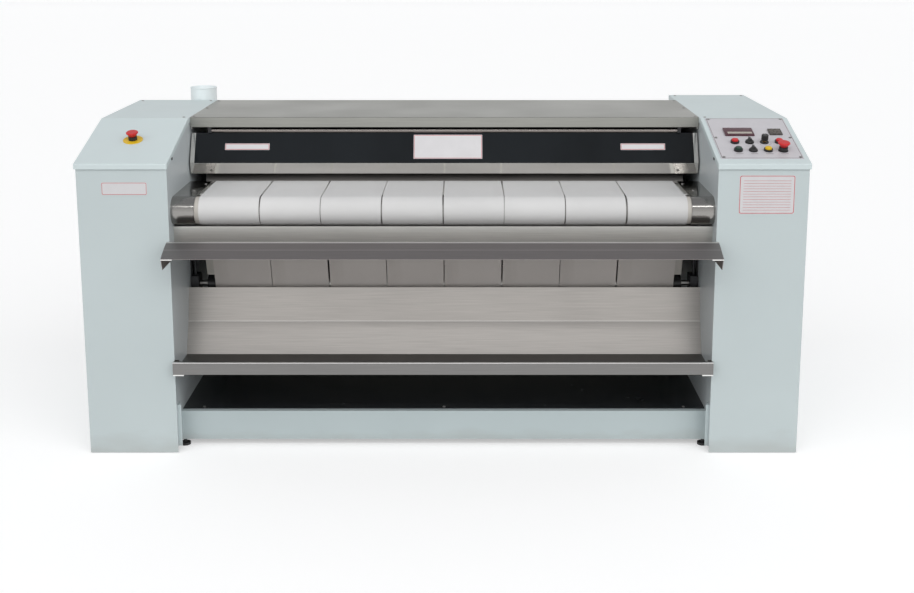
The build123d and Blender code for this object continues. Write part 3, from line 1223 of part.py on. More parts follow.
def speed_knob(place):
    """Slim ribbed knob, standing clear of the panel on its stem."""
    base = CAP_RISE + KNOB_NECK
    cap = Pos(0, 0, base) * disc(KNOB_RADIUS - KNOB_RIB / 2, KNOB_HEIGHT)
    for i in range(KNOB_RIBS):
        rib = Pos(KNOB_RADIUS - KNOB_RIB / 2, 0, base + KNOB_HEIGHT / 2) * Box(KNOB_RIB, KNOB_RIB, KNOB_HEIGHT - 3)
        cap += Rot(0, 0, 360 / KNOB_RIBS * i) * rib
    return place * (cap + Pos(0, 0, CAP_RISE - STEM_LENGTH) * disc(STEM_RADIUS, STEM_LENGTH + KNOB_NECK + 1))


def mushroom(place):
    """Emergency stop head."""
    base = ESTOP_COLLAR_HEIGHT + BUTTON_TRAVEL + 0.5
    head = Pos(0, 0, base) * disc(MUSHROOM_RADIUS, MUSHROOM_HEIGHT)
    head = fillet(head.edges().group_by(Axis.Z)[-1], 5)
    length = base + STEM_LENGTH - BEZEL_BASE - BUTTON_TRAVEL
    return place * (head + Pos(0, 0, base - length) * disc(STEM_RADIUS, length + 1))


def panel_displays():
    """Long temperature display and round-cornered speed meter, standing on the panel."""
    pieces = []
    for (x, up), (width, high) in ((DISPLAY_PLACE, DISPLAY_SIZE), (METER_PLACE, METER_SIZE)):
        box = Box(width, high, DISPLAY_HEIGHT, align=(Align.CENTER, Align.CENTER, Align.MIN))
        box -= Pos(0, 0, DISPLAY_HEIGHT - 1.5) * Box(
            width - 8, high - 8, 2, align=(Align.CENTER, Align.CENTER, Align.MIN)
        )
        pieces.append(slope_place(CABINET_X + x, up, PANEL_SHEET) * box)
    return pieces


def all_screws():
    places = panel_screw_places() + hood_screw_places() + base_screw_places()
    for _, side, depth in SIDES:
        places += lid_screw_places(side, depth) + nose_screw_places(side)
    return [screw(place) for place in places]


# ---- the nodes -----------------------------------------------------------------------------------
PIN_X = FRAME_X + BEARING_THICKNESS + 4
TAKEUP_X = WALL_X - TAKEUP_WALL_GAP
nodes = {}
for name, side, depth in SIDES:
    nodes[name + "_side_frame"] = side_frame(side, depth)
    nodes[name + "_cabinet_shell"] = cabinet_shell(side, depth)
    nodes[name + "_lid"] = lid(side, depth)
nodes["rear_covers"] = [rear_cover(side, depth) for _, side, depth in SIDES]
nodes["base_frame"] = base_rails() + [floor_pan(side, depth) for _, side, depth in SIDES]
nodes["levelling_feet"] = feet()
nodes["base_tray"] = base_tray()
nodes["top_hood"] = top_hood()
nodes["hood_rails"] = [hood_rail(side) for side in (-1, 1)]
nodes["rear_panel"] = rear_panel()
nodes["feed_bed"] = feed_bed()
nodes["nose_end_guards"] = [nose_end_guard(side) for side in (-1, 1)]
nodes["front_apron"] = front_apron()
nodes["feed_shelf"] = feed_shelf()
nodes["return_chute"] = return_chute()
nodes["linen_tray"] = linen_tray()
nodes["edge_guides"] = [edge_guide(side) for side in (-1, 1)]
nodes["feed_belts"] = belts(FEED_WHEELS)
nodes["ironing_belts"] = belts(IRON_WHEELS)
bearings = [roller_bearing(side, d, h) for side in (-1, 1) for d, h in ROLLER_PINS]
nodes["roller_bearings"] = bearings + [takeup_bearing(side) for side in (-1, 1)]
nodes["drum_bearings"] = [drum_bearing(side) for side in (-1, 1)]
nodes["drum_shell"] = drum_shell()
nodes["drum_ends"] = [drum_end(side) for side in (-1, 1)]
nodes["drum_sprockets"] = drum_sprockets()
nodes["heater_bundle"] = heater_bundle()
nodes["nose_roller"] = nose_roller()
nodes["rear_feed_roller"] = roller(FEED_REAR_RADIUS, ROLLER_X, PIN_X, FEED_REAR_DEPTH, FEED_REAR_HEIGHT)
nodes["entry_roller"] = roller(ENTRY_RADIUS, ROLLER_X, PIN_X, ENTRY_DEPTH, ENTRY_HEIGHT)
nodes["exit_roller"] = roller(EXIT_RADIUS, ROLLER_X, PIN_X, EXIT_DEPTH, EXIT_HEIGHT)
nodes["lower_roller"] = roller(LOWER_RADIUS, BELTS_X + LOWER_OVERHANG, TAKEUP_X, LOWER_DEPTH, LOWER_HEIGHT)
nodes["rear_lower_roller"] = roller(REAR_RADIUS, ROLLER_X, PIN_X, REAR_LOWER_DEPTH, REAR_LOWER_HEIGHT)
nodes["rear_upper_roller"] = roller(REAR_RADIUS, ROLLER_X, PIN_X, REAR_UPPER_DEPTH, REAR_UPPER_HEIGHT)
nodes["gearbox"] = gearbox()
nodes["gear_motor"] = gear_motor()
nodes["drive_sprocket"] = drive_sprocket()
nodes["drive_chains"] = chains()
nodes["electrics_box"] = electrics_box()
nodes["blower_housing"] = blower_housing()
nodes["fume_stack"] = fume_stack()
nodes["blower_impeller"] = blower_impeller()
nodes["fan_motor"] = fan_motor()
nodes["guard_frame"] = guard_frame()
nodes["guard_panel"] = guard_panel()
nodes["guard_brackets"] = [guard_bracket(side) for side in (-1, 1)]
nodes["control_panel"] = control_panel()
nodes["switch_bodies"] = switch_bodies() + [left_stop_body()]
nodes["panel_displays"] = panel_displays()
for name, (kind, _, _) in CONTROLS.items():
    make = {"button": button, "selector": selector, "knob": speed_knob, "stop": mushroom}[kind]
    nodes[name] = make(control_place(name))
nodes["left_stop_head"] = mushroom(STOP_LEFT_PLACE)
nodes["cover_screws"] = all_screws()

os.makedirs("parts", exist_ok=True)
for name, shape in nodes.items():
    pieces = shape if isinstance(shape, list) else [shape]
    solids = [solid for piece in pieces for solid in piece.solids()]
    export_step(solids[0] if len(solids) == 1 else Compound(children=solids), f"parts/{name}.step")
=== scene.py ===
import json
import math
import bmesh
import bpy
from mathutils import Matrix, Vector


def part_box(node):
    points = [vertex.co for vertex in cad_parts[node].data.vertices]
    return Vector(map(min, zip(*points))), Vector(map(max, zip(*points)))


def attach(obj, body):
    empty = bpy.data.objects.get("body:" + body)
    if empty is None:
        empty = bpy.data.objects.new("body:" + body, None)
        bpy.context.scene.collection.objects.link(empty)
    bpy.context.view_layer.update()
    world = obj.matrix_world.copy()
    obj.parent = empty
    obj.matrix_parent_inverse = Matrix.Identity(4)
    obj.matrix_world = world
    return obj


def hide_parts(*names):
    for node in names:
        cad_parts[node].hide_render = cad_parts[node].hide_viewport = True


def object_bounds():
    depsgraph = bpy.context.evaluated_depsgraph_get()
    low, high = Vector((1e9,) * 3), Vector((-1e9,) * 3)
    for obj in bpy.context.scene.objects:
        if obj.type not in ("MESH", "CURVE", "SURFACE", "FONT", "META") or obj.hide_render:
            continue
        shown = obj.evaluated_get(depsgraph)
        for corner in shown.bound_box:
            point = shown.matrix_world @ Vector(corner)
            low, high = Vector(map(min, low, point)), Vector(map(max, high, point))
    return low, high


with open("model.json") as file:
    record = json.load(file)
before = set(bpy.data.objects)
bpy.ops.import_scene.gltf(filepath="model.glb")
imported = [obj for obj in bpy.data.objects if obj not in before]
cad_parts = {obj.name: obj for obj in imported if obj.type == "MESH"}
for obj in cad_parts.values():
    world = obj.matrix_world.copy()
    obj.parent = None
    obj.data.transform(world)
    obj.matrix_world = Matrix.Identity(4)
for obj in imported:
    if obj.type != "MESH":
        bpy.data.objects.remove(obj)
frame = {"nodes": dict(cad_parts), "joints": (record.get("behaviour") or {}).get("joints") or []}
cad_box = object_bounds()

# ---- Stage, camera and light -----------------------------------------------------------------------
# A plain pale floor that reaches past the picture, a camera where the photographer stood, tilted down
# with a small lens shift, a wide soft sun from either side of the front, a weak fill lamp and a pale sky
# that darkens upwards. Floor and sky are brighter to the camera and in mirrors than the light they give.
FRONT_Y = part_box("left_cabinet_shell")[0].y
CAMERA_PLACE = (0.074, FRONT_Y - 4.0, 1.672)
CAMERA_TILT = math.radians(10.34)
PHOTO_WIDTH, PHOTO_HEIGHT = 914, 593
FOCAL_PIXELS = 1263.0
LENS_AXIS_PIXEL = (465.6, 176.5)
SENSOR_MM = 36.0
VIEW_END = 300
FLOOR_HALF = 90.0
FLOOR_GREY = (0.68, 0.68, 0.68, 1)
FLOOR_GLOW = 0.43
SUNS = (("left_sun", 0.50, 0.88), ("right_sun", -0.56, 1.05))
SUN_FALL = (0.62, -0.60)
SUN_SPREAD = math.radians(60)
FILL_POWER = 38
FILL_SIZE = (5.0, 0.3)
FILL_PLACE = (0.5, -4.3, 4.2)
FILL_TARGET = (0.2, 0, 0.7)
SKY_LIGHT, SKY_SEEN = 0.68, 1.0
HORIZON = (0.05, (1.0, 1.0, 1.0, 1))
ZENITH = (0.9, (0.42, 0.43, 0.45, 1))


def placed(name, data):
    """New object, put into the scene."""
    made_object = bpy.data.objects.new(name, data)
    bpy.context.scene.collection.objects.link(made_object)
    return made_object


lens = bpy.data.cameras.new("camera")
lens.sensor_width = SENSOR_MM
lens.lens = FOCAL_PIXELS * SENSOR_MM / PHOTO_WIDTH
lens.shift_x = (PHOTO_WIDTH / 2 - LENS_AXIS_PIXEL[0]) / PHOTO_WIDTH
lens.shift_y = (LENS_AXIS_PIXEL[1] - PHOTO_HEIGHT / 2) / PHOTO_WIDTH
lens.clip_end = VIEW_END
camera = placed("camera", lens)
camera.location = CAMERA_PLACE
camera.rotation_euler = (math.radians(90) - CAMERA_TILT, 0, 0)
bpy.context.scene.camera = camera

floor_mesh = bpy.data.meshes.new("floor")
floor_corners = [(x * FLOOR_HALF, y * FLOOR_HALF, 0) for x, y in ((-1, -1), (1, -1), (1, 1), (-1, 1))]
floor_mesh.from_pydata(floor_corners, [], [(0, 1, 2, 3)])
floor = placed("floor", floor_mesh)
floor_paint = bpy.data.materials.new("pale_floor")
floor_paint.use_nodes = True
floor_shader = floor_paint.node_tree.nodes["Principled BSDF"]
floor_shader.inputs["Base Color"].default_value = FLOOR_GREY
floor_shader.inputs["Roughness"].default_value = 0.8
floor_shader.inputs["Emission Color"].default_value = (1, 1, 1, 1)


def seen_or_mirrored(tree, low, high):
    """Value that is high for rays from the camera, a mirror or glass, and low for light on surfaces."""
    rays = tree.nodes.new("ShaderNodeLightPath")
    total = rays.outputs["Is Camera Ray"]
    for name in ("Is Glossy Ray", "Is Transmission Ray"):
        joined = tree.nodes.new("ShaderNodeMath")
        joined.operation = "MAXIMUM"
        tree.links.new(total, joined.inputs[0])
        tree.links.new(rays.outputs[name], joined.inputs[1])
        total = joined.outputs[0]
    span = tree.nodes.new("ShaderNodeMapRange")
    span.inputs["To Min"].default_value = low
    span.inputs["To Max"].default_value = high
    tree.links.new(total, span.inputs["Value"])
    return span.outputs["Result"]


floor_glow = seen_or_mirrored(floor_paint.node_tree, 0.0, FLOOR_GLOW)
floor_paint.node_tree.links.new(floor_glow, floor_shader.inputs["Emission Strength"])
floor_mesh.materials.append(floor_paint)

for name, across, strength in SUNS:
    sun = bpy.data.lights.new(name, "SUN")
    sun.energy = strength
    sun.angle = SUN_SPREAD
    sun_object = placed(name, sun)
    sun_object.rotation_euler = Vector((across, *SUN_FALL)).to_track_quat("-Z", "Y").to_euler()
    sun_object.visible_glossy = False
fill = bpy.data.lights.new("fill", "AREA")
fill.shape = "RECTANGLE"
fill.size, fill.size_y = FILL_SIZE
fill.energy = FILL_POWER
fill_object = placed("fill", fill)
fill_object.location = FILL_PLACE
fill_aim = Vector(FILL_TARGET) - fill_object.location
fill_object.rotation_euler = fill_aim.to_track_quat("-Z", "Y").to_euler()

world = bpy.data.worlds.new("studio")
world.use_nodes = True
bpy.context.scene.world = world
sky = world.node_tree.nodes["Background"]
world.node_tree.links.new(seen_or_mirrored(world.node_tree, SKY_LIGHT, SKY_SEEN), sky.inputs["Strength"])
ramp = world.node_tree.nodes.new("ShaderNodeValToRGB")
height = world.node_tree.nodes.new("ShaderNodeSeparateXYZ")
direction = world.node_tree.nodes.new("ShaderNodeTexCoord")
world.node_tree.links.new(direction.outputs["Generated"], height.inputs[0])
world.node_tree.links.new(height.outputs["Z"], ramp.inputs["Fac"])
world.node_tree.links.new(ramp.outputs["Color"], sky.inputs["Color"])
for element, (place, color) in zip(ramp.color_ramp.elements, (HORIZON, ZENITH)):
    element.position = place
    element.color = color
bpy.context.scene.view_settings.view_transform = "Standard"

# ---- Cabinets: painted sheet steel -----------------------------------------------------------------
# Two side cabinets of folded 1.5 mm sheet, powder coated in a pale blue-green, with sloping lids. The
# coat is semi-gloss, with a faint orange peel, cloudy handling marks and floor dust at the foot.
CABINET_COLOR = (0.520, 0.585, 0.591, 1)
LID_COLOR = (0.605, 0.680, 0.686, 1)
LID_SPECULAR = 0.3
WALL_COLOR = (0.540, 0.585, 0.600, 1)
RAIL_COLOR = (0.47, 0.54, 0.55, 1)
DUST_COLOR = (0.30, 0.28, 0.25, 1)
DUST_AMOUNT = 0.30
DUST_PATCHINESS = 2.2
FIRST_COLOR, SECOND_COLOR, MIXED_COLOR = 6, 7, 2


def skin(made):
    """The shader of a material."""
    return made.node_tree.nodes["Principled BSDF"]


def finish(name, color, metallic, roughness):
    """New material with its shader set to one colour and roughness."""
    made = bpy.data.materials.new(name)
    made.use_nodes = True
    skin(made).inputs["Base Color"].default_value = color
    skin(made).inputs["Metallic"].default_value = metallic
    skin(made).inputs["Roughness"].default_value = roughness
    return made


def put(made, kind, **settings):
    """New node in a material; settings name its properties or, failing that, its inputs."""
    node = made.node_tree.nodes.new(kind)
    for name, value in settings.items():
        if hasattr(node, name):
            setattr(node, name, value)
        else:
            node.inputs[name.replace("_", " ")].default_value = value
    return node


def wire(made, source, output, target, socket):
    made.node_tree.links.new(source.outputs[output], target.inputs[socket])


def grain(made, scale, stretch=(1, 1, 1), detail=4.0, space="Object"):
    """Noise on the piece's own coordinates, stretched along the axes."""
    where = put(made, "ShaderNodeTexCoord")
    turn = put(made, "ShaderNodeMapping")
    turn.inputs["Scale"].default_value = [scale * s for s in stretch]
    noise = put(made, "ShaderNodeTexNoise", Scale=1.0, Detail=detail)
    wire(made, where, space, turn, "Vector")
    wire(made, turn, "Vector", noise, "Vector")
    return noise


def mottle(made, noise, color, spread):
    """Lets the noise move the base colour up and down by a share of itself."""
    tones = put(made, "ShaderNodeValToRGB")
    for element, place, share in zip(tones.color_ramp.elements, (0.3, 0.7), (1 - spread, 1 + spread)):
        element.position = place
        element.color = [min(1, c * share) for c in color[:3]] + [1]
    wire(made, noise, "Fac", tones, "Fac")
    wire(made, tones, "Color", skin(made), "Base Color")


def gloss(made, noise, low, high):
    """Lets the noise move the roughness between two values."""
    spread = put(made, "ShaderNodeMapRange", To_Min=low, To_Max=high)
    wire(made, noise, "Fac", spread, "Value")
    wire(made, spread, "Result", skin(made), "Roughness")


def relief(made, source, strength, depth, output="Fac"):
    bump = put(made, "ShaderNodeBump", Strength=strength, Distance=depth)
    wire(made, source, output, bump, "Height")
    wire(made, bump, "Normal", skin(made), "Normal")


def mixed(made, amount, output, second):
    """Lets an amount take the base colour, as it is so far, over to a second colour."""
    base = skin(made).inputs["Base Color"]
    blend = put(made, "ShaderNodeMix", data_type="RGBA")
    made.node_tree.links.new(base.links[0].from_socket, blend.inputs[FIRST_COLOR])
    blend.inputs[SECOND_COLOR].default_value = second
    wire(made, amount, output, blend, 0)
    wire(made, blend, MIXED_COLOR, skin(made), "Base Color")


def own_axes(made):
    """The piece's own coordinates, split into X, Y and Z."""
    parts = put(made, "ShaderNodeSeparateXYZ")
    wire(made, put(made, "ShaderNodeTexCoord"), "Object", parts, "Vector")
    return parts


def between(made, source, output, low, high):
    """1 where a value lies between two others, 0 elsewhere."""
    inside = put(made, "ShaderNodeMath", operation="COMPARE")
    inside.inputs[1].default_value = (low + high) / 2
    inside.inputs[2].default_value = (high - low) / 2
    wire(made, source, output, inside, 0)
    return inside


def dusty(made, reach):
    """Floor dust over the lowest stretch, fading out upwards in uneven patches."""
    patches = grain(made, 7.0, (1, 1, 2.5), 5.0)
    lift = put(made, "ShaderNodeMath", operation="MULTIPLY_ADD")
    lift.inputs[1].default_value = -DUST_PATCHINESS * reach
    fade = put(
        made, "ShaderNodeMapRange", From_Min=-reach, From_Max=reach * 0.3, To_Min=DUST_AMOUNT, To_Max=0.0
    )
    wire(made, patches, "Fac", lift, 0)
    wire(made, own_axes(made), "Z", lift, 2)
    wire(made, lift, 0, fade, "Value")
    mixed(made, fade, "Result", DUST_COLOR)


def painted(name, color, roughness, dust_reach=0.0):
    """Powder coat: faint tone patches, orange peel and uneven gloss."""
    made = finish(name, color, 0.0, roughness)
    mottle(made, grain(made, 2.2), color, 0.03)
    gloss(made, grain(made, 14.0), roughness - 0.06, roughness + 0.10)
    relief(made, grain(made, 700.0, detail=2.0), 0.10, 0.0004)
    if dust_reach:
        dusty(made, dust_reach)
    return made


def dress(made, slot, *names):
    """Gives CAD nodes their finish."""
    for name in names:
        mesh = frame["nodes"][name].data
        mesh.materials.clear()
        mesh.materials.append(made)


cabinet_paint = painted("cabinet_paint", CABINET_COLOR, 0.34, 0.05)
dress(cabinet_paint, "cabinet_paint", "left_cabinet_shell", "right_cabinet_shell", "rear_covers")
wall_paint = painted("wall_paint", WALL_COLOR, 0.38, 0.05)
dress(wall_paint, "frame_steel", "left_side_frame", "right_side_frame")
lid_paint = painted("lid_paint", LID_COLOR, 0.46)
skin(lid_paint).inputs["Specular IOR Level"].default_value = LID_SPECULAR
dress(lid_paint, "lid_paint", "left_lid", "right_lid")
dress(painted("rail_paint", RAIL_COLOR, 0.42, 0.04), "frame_steel", "base_frame")

# ---- Hood, apron, slide and trays: stainless sheet -------------------------------------------------
# Stainless sheet, brushed along the machine: the cover over the drum, the apron under the nose, the
# projecting shelf, the slide and the linen tray, all with soft cloudy patches from handling. Thin lighter
# bands along bent edges and folds are painted highlights. The base tray below them is painted black.
HOOD_COLOR = (0.355, 0.355, 0.328, 1)
APRON_COLOR = (0.66, 0.66, 0.625, 1)
SHELF_COLOR = (0.28, 0.258, 0.253, 1)
SLIDE_COLOR = (0.47, 0.445, 0.42, 1)
TRAY_COLOR = (0.245, 0.24, 0.235, 1)
DARK_COLOR = (0.017, 0.020, 0.023, 1)
# Painted highlights: lighter colours for thin bands along bent edges and folds.
EDGE_PAINTED_HIGHLIGHT = (0.86, 0.85, 0.83, 1)
CREASE_PAINTED_HIGHLIGHT = (0.72, 0.70, 0.67, 1)
SHELF_CREASE_PAINTED_HIGHLIGHT = (0.40, 0.37, 0.36, 1)
SLIDE_CREASE = 0.114
SHELF_CREASE = 0.016
EDGE_BAND = 0.003
SHELF_EDGE_BAND = 0.0025
SLIDE_CREASE_HALF = 0.0012
SHELF_CREASE_HALF = 0.0006


def brushed(name, color, roughness, along=(0.5, 70, 70), strength=0.22):
    """Brushed stainless: fine lines in colour and relief, and cloudy gloss."""
    made = finish(name, color, 1.0, roughness)
    lines = grain(made, 14.0, along, 6.0)
    mottle(made, lines, color, 0.09)
    gloss(made, grain(made, 4.0), roughness - 0.06, roughness + 0.14)
    relief(made, lines, strength, 0.0002)
    return made


def painted_highlight_or_part_band(made, low, high, color):
    """Gives the stretch between two heights its own colour: painted highlights on edges and folds, the
    rod's darker tone.
    """
    mixed(made, between(made, own_axes(made), "Z", low, high), 0, color)


dress(brushed("brushed_hood", HOOD_COLOR, 0.36), "brushed_stainless", "top_hood", "rear_panel")
dress(brushed("bed_steel", APRON_COLOR, 0.38), "brushed_stainless", "feed_bed", "hood_rails")
apron_steel = brushed("brushed_apron", APRON_COLOR, 0.38)
apron_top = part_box("front_apron")[1].z
# Painted highlight along the apron's top edge.
painted_highlight_or_part_band(apron_steel, apron_top - EDGE_BAND, apron_top, EDGE_PAINTED_HIGHLIGHT)
dress(apron_steel, "brushed_stainless", "front_apron")
shelf_steel = brushed("brushed_shelf", SHELF_COLOR, 0.36)
shelf_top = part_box("feed_shelf")[1].z
shelf_fold = shelf_top - SHELF_CREASE
# Painted highlights along the shelf's top edge and along its fold.
painted_highlight_or_part_band(shelf_steel, shelf_top - SHELF_EDGE_BAND, shelf_top, CREASE_PAINTED_HIGHLIGHT)
painted_highlight_or_part_band(shelf_steel, shelf_fold - SHELF_CREASE_HALF, shelf_fold + SHELF_CREASE_HALF, SHELF_CREASE_PAINTED_HIGHLIGHT)
dress(shelf_steel, "shelf_stainless", "feed_shelf")
slide_steel = brushed("slide_steel", SLIDE_COLOR, 0.30, (0.5, 40, 40), 0.12)
slide_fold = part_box("return_chute")[1].z - SLIDE_CREASE
# Painted highlight along the slide's fold.
painted_highlight_or_part_band(slide_steel, slide_fold - SLIDE_CREASE_HALF, slide_fold + SLIDE_CREASE_HALF, CREASE_PAINTED_HIGHLIGHT)
dress(slide_steel, "shelf_stainless", "return_chute")
tray_steel = brushed("tray_steel", TRAY_COLOR, 0.38)
tray_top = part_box("linen_tray")[1].z
# Painted highlight along the tray's top edge.
painted_highlight_or_part_band(tray_steel, tray_top - EDGE_BAND, tray_top, EDGE_PAINTED_HIGHLIGHT)
dress(tray_steel, "shelf_stainless", "linen_tray")
dress(painted("dark_sheet", DARK_COLOR, 0.22), "dark_sheet", "base_tray")

# ---- Belts -----------------------------------------------------------------------------------------
# Sixteen endless belts of thick woven cloth: eight short ones carry the linen in over the nose roller,
# eight long ones hold it against the drum. Each wanders a little on its rollers and has its own width.
BELT_COUNT = 8
BELT_SHEET = 0.002
BELT_WIDTH = 0.1962
SOLID_BELT_WIDTH = 0.192
BELT_GAP = 0.0003
BELT_WANDER = 0.0011
EDGE_WAVE = 0.0003
FEED_UNEVEN, IRON_UNEVEN = 0.0004, 0.0005
ARC_STEP = math.radians(5)
RUN_STEP = 0.06
WEAVE_SCALE = 240.0
FEED_CLOTH = (0.635, 0.632, 0.628, 1)
FEED_STAIN = (0.42, 0.40, 0.39, 1)
IRON_CLOTH = (0.60, 0.56, 0.53, 1)
IRON_STAIN = (0.28, 0.24, 0.20, 1)
SHARP_FROM = math.radians(35)


def piece(name, shape, made, slot, *replaced, body="frame"):
    """New object from a bmesh that rides a body, in place of CAD nodes if any are named."""
    bmesh.ops.recalc_face_normals(shape, faces=shape.faces)
    mesh = bpy.data.meshes.new(name)
    shape.to_mesh(mesh)
    shape.free()
    mesh.materials.append(made)
    mesh.shade_smooth()
    mesh.set_sharp_from_angle(angle=SHARP_FROM)
    made_object = placed(name, mesh)
    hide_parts(*replaced)
    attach(made_object, body)
    return made_object


def wheel(node, turn=1):
    """Middle, radius and turn of a roller, read from its box."""
    low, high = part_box(node)
    return (low.y + high.y) / 2, (low.z + high.z) / 2, (high.z - low.z) / 2, turn


def loop_points(wheels, offset):
    """Points (y, z, outward normal, length so far) of a belt's middle line round the wheels."""
    reaches = [turn * (radius + offset) for _, _, radius, turn in wheels]
    headings = []
    for i, (y, z, _, _) in enumerate(wheels):
        j = (i + 1) % len(wheels)
        run_y, run_z = wheels[j][0] - y, wheels[j][1] - z
        slant = math.asin((reaches[j] - reaches[i]) / math.hypot(run_y, run_z))
        headings.append(math.atan2(run_z, run_y) - slant)
    line = []
    for i, (y, z, _, turn) in enumerate(wheels):
        start, end = headings[i - 1], headings[i]
        while (end - start) * turn < 0:
            end += turn * 2 * math.pi
        steps = max(3, round(abs(end - start) / ARC_STEP))
        for s in range(steps + 1):
            heading = start + (end - start) * s / steps
            normal = (math.sin(heading), -math.cos(heading))
            line.append((y + reaches[i] * normal[0], z + reaches[i] * normal[1], normal))
        j = (i + 1) % len(wheels)
        y_end = wheels[j][0] + reaches[j] * normal[0]
        z_end = wheels[j][1] + reaches[j] * normal[1]
        y_start, z_start = line[-1][:2]
        run = math.hypot(y_end - y_start, z_end - z_start)
        inner = max(1, round(run / RUN_STEP))
        for s in range(1, inner):
            share = s / inner
            line.append((y_start + (y_end - y_start) * share, z_start + (z_end - z_start) * share, normal))
    length = 0.0
    found = []
    for i, (y, z, normal) in enumerate(line):
        found.append((y, z, normal, length))
        after = line[(i + 1) % len(line)]
        length += math.hypot(after[0] - y, after[1] - z)
    return found, length


def belt(name, path, middle, width, phase, made, slot, node):
    """One endless belt as a closed flat band, with its own width and wander, and cloth coordinates."""
    line, length = path
    shape = bmesh.new()
    coordinates = shape.loops.layers.uv.new("cloth")
    rings = []
    for y, z, (ny, nz), along in line:
        around = 2 * math.pi * along / length
        shift = BELT_WANDER * math.sin(around + phase)
        half = width / 2 + EDGE_WAVE * math.sin(3 * around + 2 * phase)
        ring = []
        for side, face in ((-1, 1), (1, 1), (1, -1), (-1, -1)):
            reach = face * BELT_SHEET / 2
            ring.append(shape.verts.new((middle + shift + side * half, y + ny * reach, z + nz * reach)))
        rings.append(ring)
    around_section = (0.0, width, width + BELT_SHEET, 2 * width + BELT_SHEET, 2 * (width + BELT_SHEET))
    for i, ring in enumerate(rings):
        after = rings[(i + 1) % len(rings)]
        start = line[i][3]
        end = line[i + 1][3] if i + 1 < len(line) else length
        for k in range(4):
            face = shape.faces.new((ring[k], ring[(k + 1) % 4], after[(k + 1) % 4], after[k]))
            near, far = around_section[k], around_section[k + 1]
            spots = ((near, start), (far, start), (far, end), (near, end))
            for loop, spot in zip(face.loops, spots):
                loop[coordinates].uv = spot
    made_belt = piece(name, shape, made, slot, node)


def woven(name, color, stain, stain_amount):
    """Thick cotton and polyester cloth: a weave in relief, cloudy tone, faint scorch and lint marks."""
    made = finish(name, color, 0.0, 0.88)
    mottle(made, grain(made, 3.0, (1, 1, 1), 5.0), color, 0.05)
    where = put(made, "ShaderNodeUVMap", uv_map="cloth")
    weave = []
    for way in ("X", "Y"):
        wave = put(made, "ShaderNodeTexWave", bands_direction=way, Scale=WEAVE_SCALE, Distortion=0.6)
        wave.inputs["Detail"].default_value = 1.0
        wire(made, where, "UV", wave, "Vector")
        weave.append(wave)
    cloth = put(made, "ShaderNodeMath", operation="MULTIPLY")
    wire(made, weave[0], "Fac", cloth, 0)
    wire(made, weave[1], "Fac", cloth, 1)
    relief(made, cloth, 0.35, 0.0004, 0)
    marks = put(made, "ShaderNodeMapRange", From_Min=0.52, From_Max=0.78, To_Max=stain_amount)
    patches = grain(made, 1.0, (5.0, 1.2, 1), 6.0, "UV")
    wire(made, patches, "Fac", marks, "Value")
    mixed(made, marks, "Result", stain)
    skin(made).inputs["Sheen Weight"].default_value = 0.15
    return made


feed_cloth = woven("feed_cloth", FEED_CLOTH, FEED_STAIN, 0.35)
iron_cloth = woven("iron_cloth", IRON_CLOTH, IRON_STAIN, 0.45)
belt_offset = BELT_GAP + BELT_SHEET / 2
feed_path = loop_points([wheel("nose_roller"), wheel("rear_feed_roller")], belt_offset)
iron_path = loop_points(
    [
        wheel("entry_roller"),
        wheel("drum_shell", -1),
        wheel("exit_roller"),
        wheel("lower_roller"),
        wheel("rear_lower_roller"),
        wheel("rear_upper_roller"),
    ],
    belt_offset,
)
belts_low, belts_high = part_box("feed_belts")
belt_pitch = (belts_high.x - belts_low.x - SOLID_BELT_WIDTH) / (BELT_COUNT - 1)
for i in range(BELT_COUNT):
    middle = belts_low.x + SOLID_BELT_WIDTH / 2 + i * belt_pitch
    feed_width = BELT_WIDTH + FEED_UNEVEN * math.sin(5.1 * i)
    iron_width = BELT_WIDTH + IRON_UNEVEN * math.sin(3.7 * i + 1)
    feed_name, iron_name = f"feed_belt_{i + 1}", f"ironing_belt_{i + 1}"
    belt(feed_name, feed_path, middle, feed_width, 1.9 * i, feed_cloth, "feed_cloth", "feed_belts")
    belt(iron_name, iron_path, middle, iron_width, 2.3 * i, iron_cloth, "iron_cloth", "ironing_belts")

# ---- Rollers, bearings and drum --------------------------------------------------------------------
# Steel tubes with turned pins. The nose roller has a cream plastic collar at both ends, the lower
# roller black rubber ends. The drum is polished steel, dulled by heat; its bearings are painted iron.
CREAM = (0.48, 0.455, 0.415, 1)
BLACK = (0.016, 0.016, 0.017, 1)
NOSE_STEEL = (0.26, 0.25, 0.24, 1)
LOWER_STEEL = (0.55, 0.54, 0.52, 1)
ROLLER_STEEL = (0.50, 0.49, 0.47, 1)
DRUM_STEEL = (0.20, 0.19, 0.18, 1)
DRUM_END_STEEL = (0.30, 0.28, 0.26, 1)
IRON_PAINT = (0.035, 0.036, 0.040, 1)
SPROCKET_STEEL = (0.26, 0.25, 0.24, 1)
CHAIN_STEEL = (0.14, 0.13, 0.12, 1)
COLLAR_INSET = 0.05
RUBBER_END = (0.002, 0.033)


def banded(made, start, end, color):
    """Gives the stretch between two distances from the machine's middle an unmetallic colour."""
    away = put(made, "ShaderNodeMath", operation="ABSOLUTE")
    wire(made, own_axes(made), "X", away, 0)
    inside = between(made, away, 0, start, end)
    bare = put(made, "ShaderNodeMath", operation="SUBTRACT")
    bare.inputs[0].default_value = 1.0
    wire(made, inside, 0, bare, 1)
    wire(made, bare, 0, skin(made), "Metallic")
    mixed(made, inside, 0, color)


def worn_steel(name, color, low, high, spread=0.12):
    """Bare steel with cloudy tone and gloss from use."""
    made = finish(name, color, 1.0, low)
    patches = grain(made, 11.0, (0.4, 1, 1), 6.0)
    mottle(made, patches, color, spread)
    gloss(made, patches, low, high)
    return made


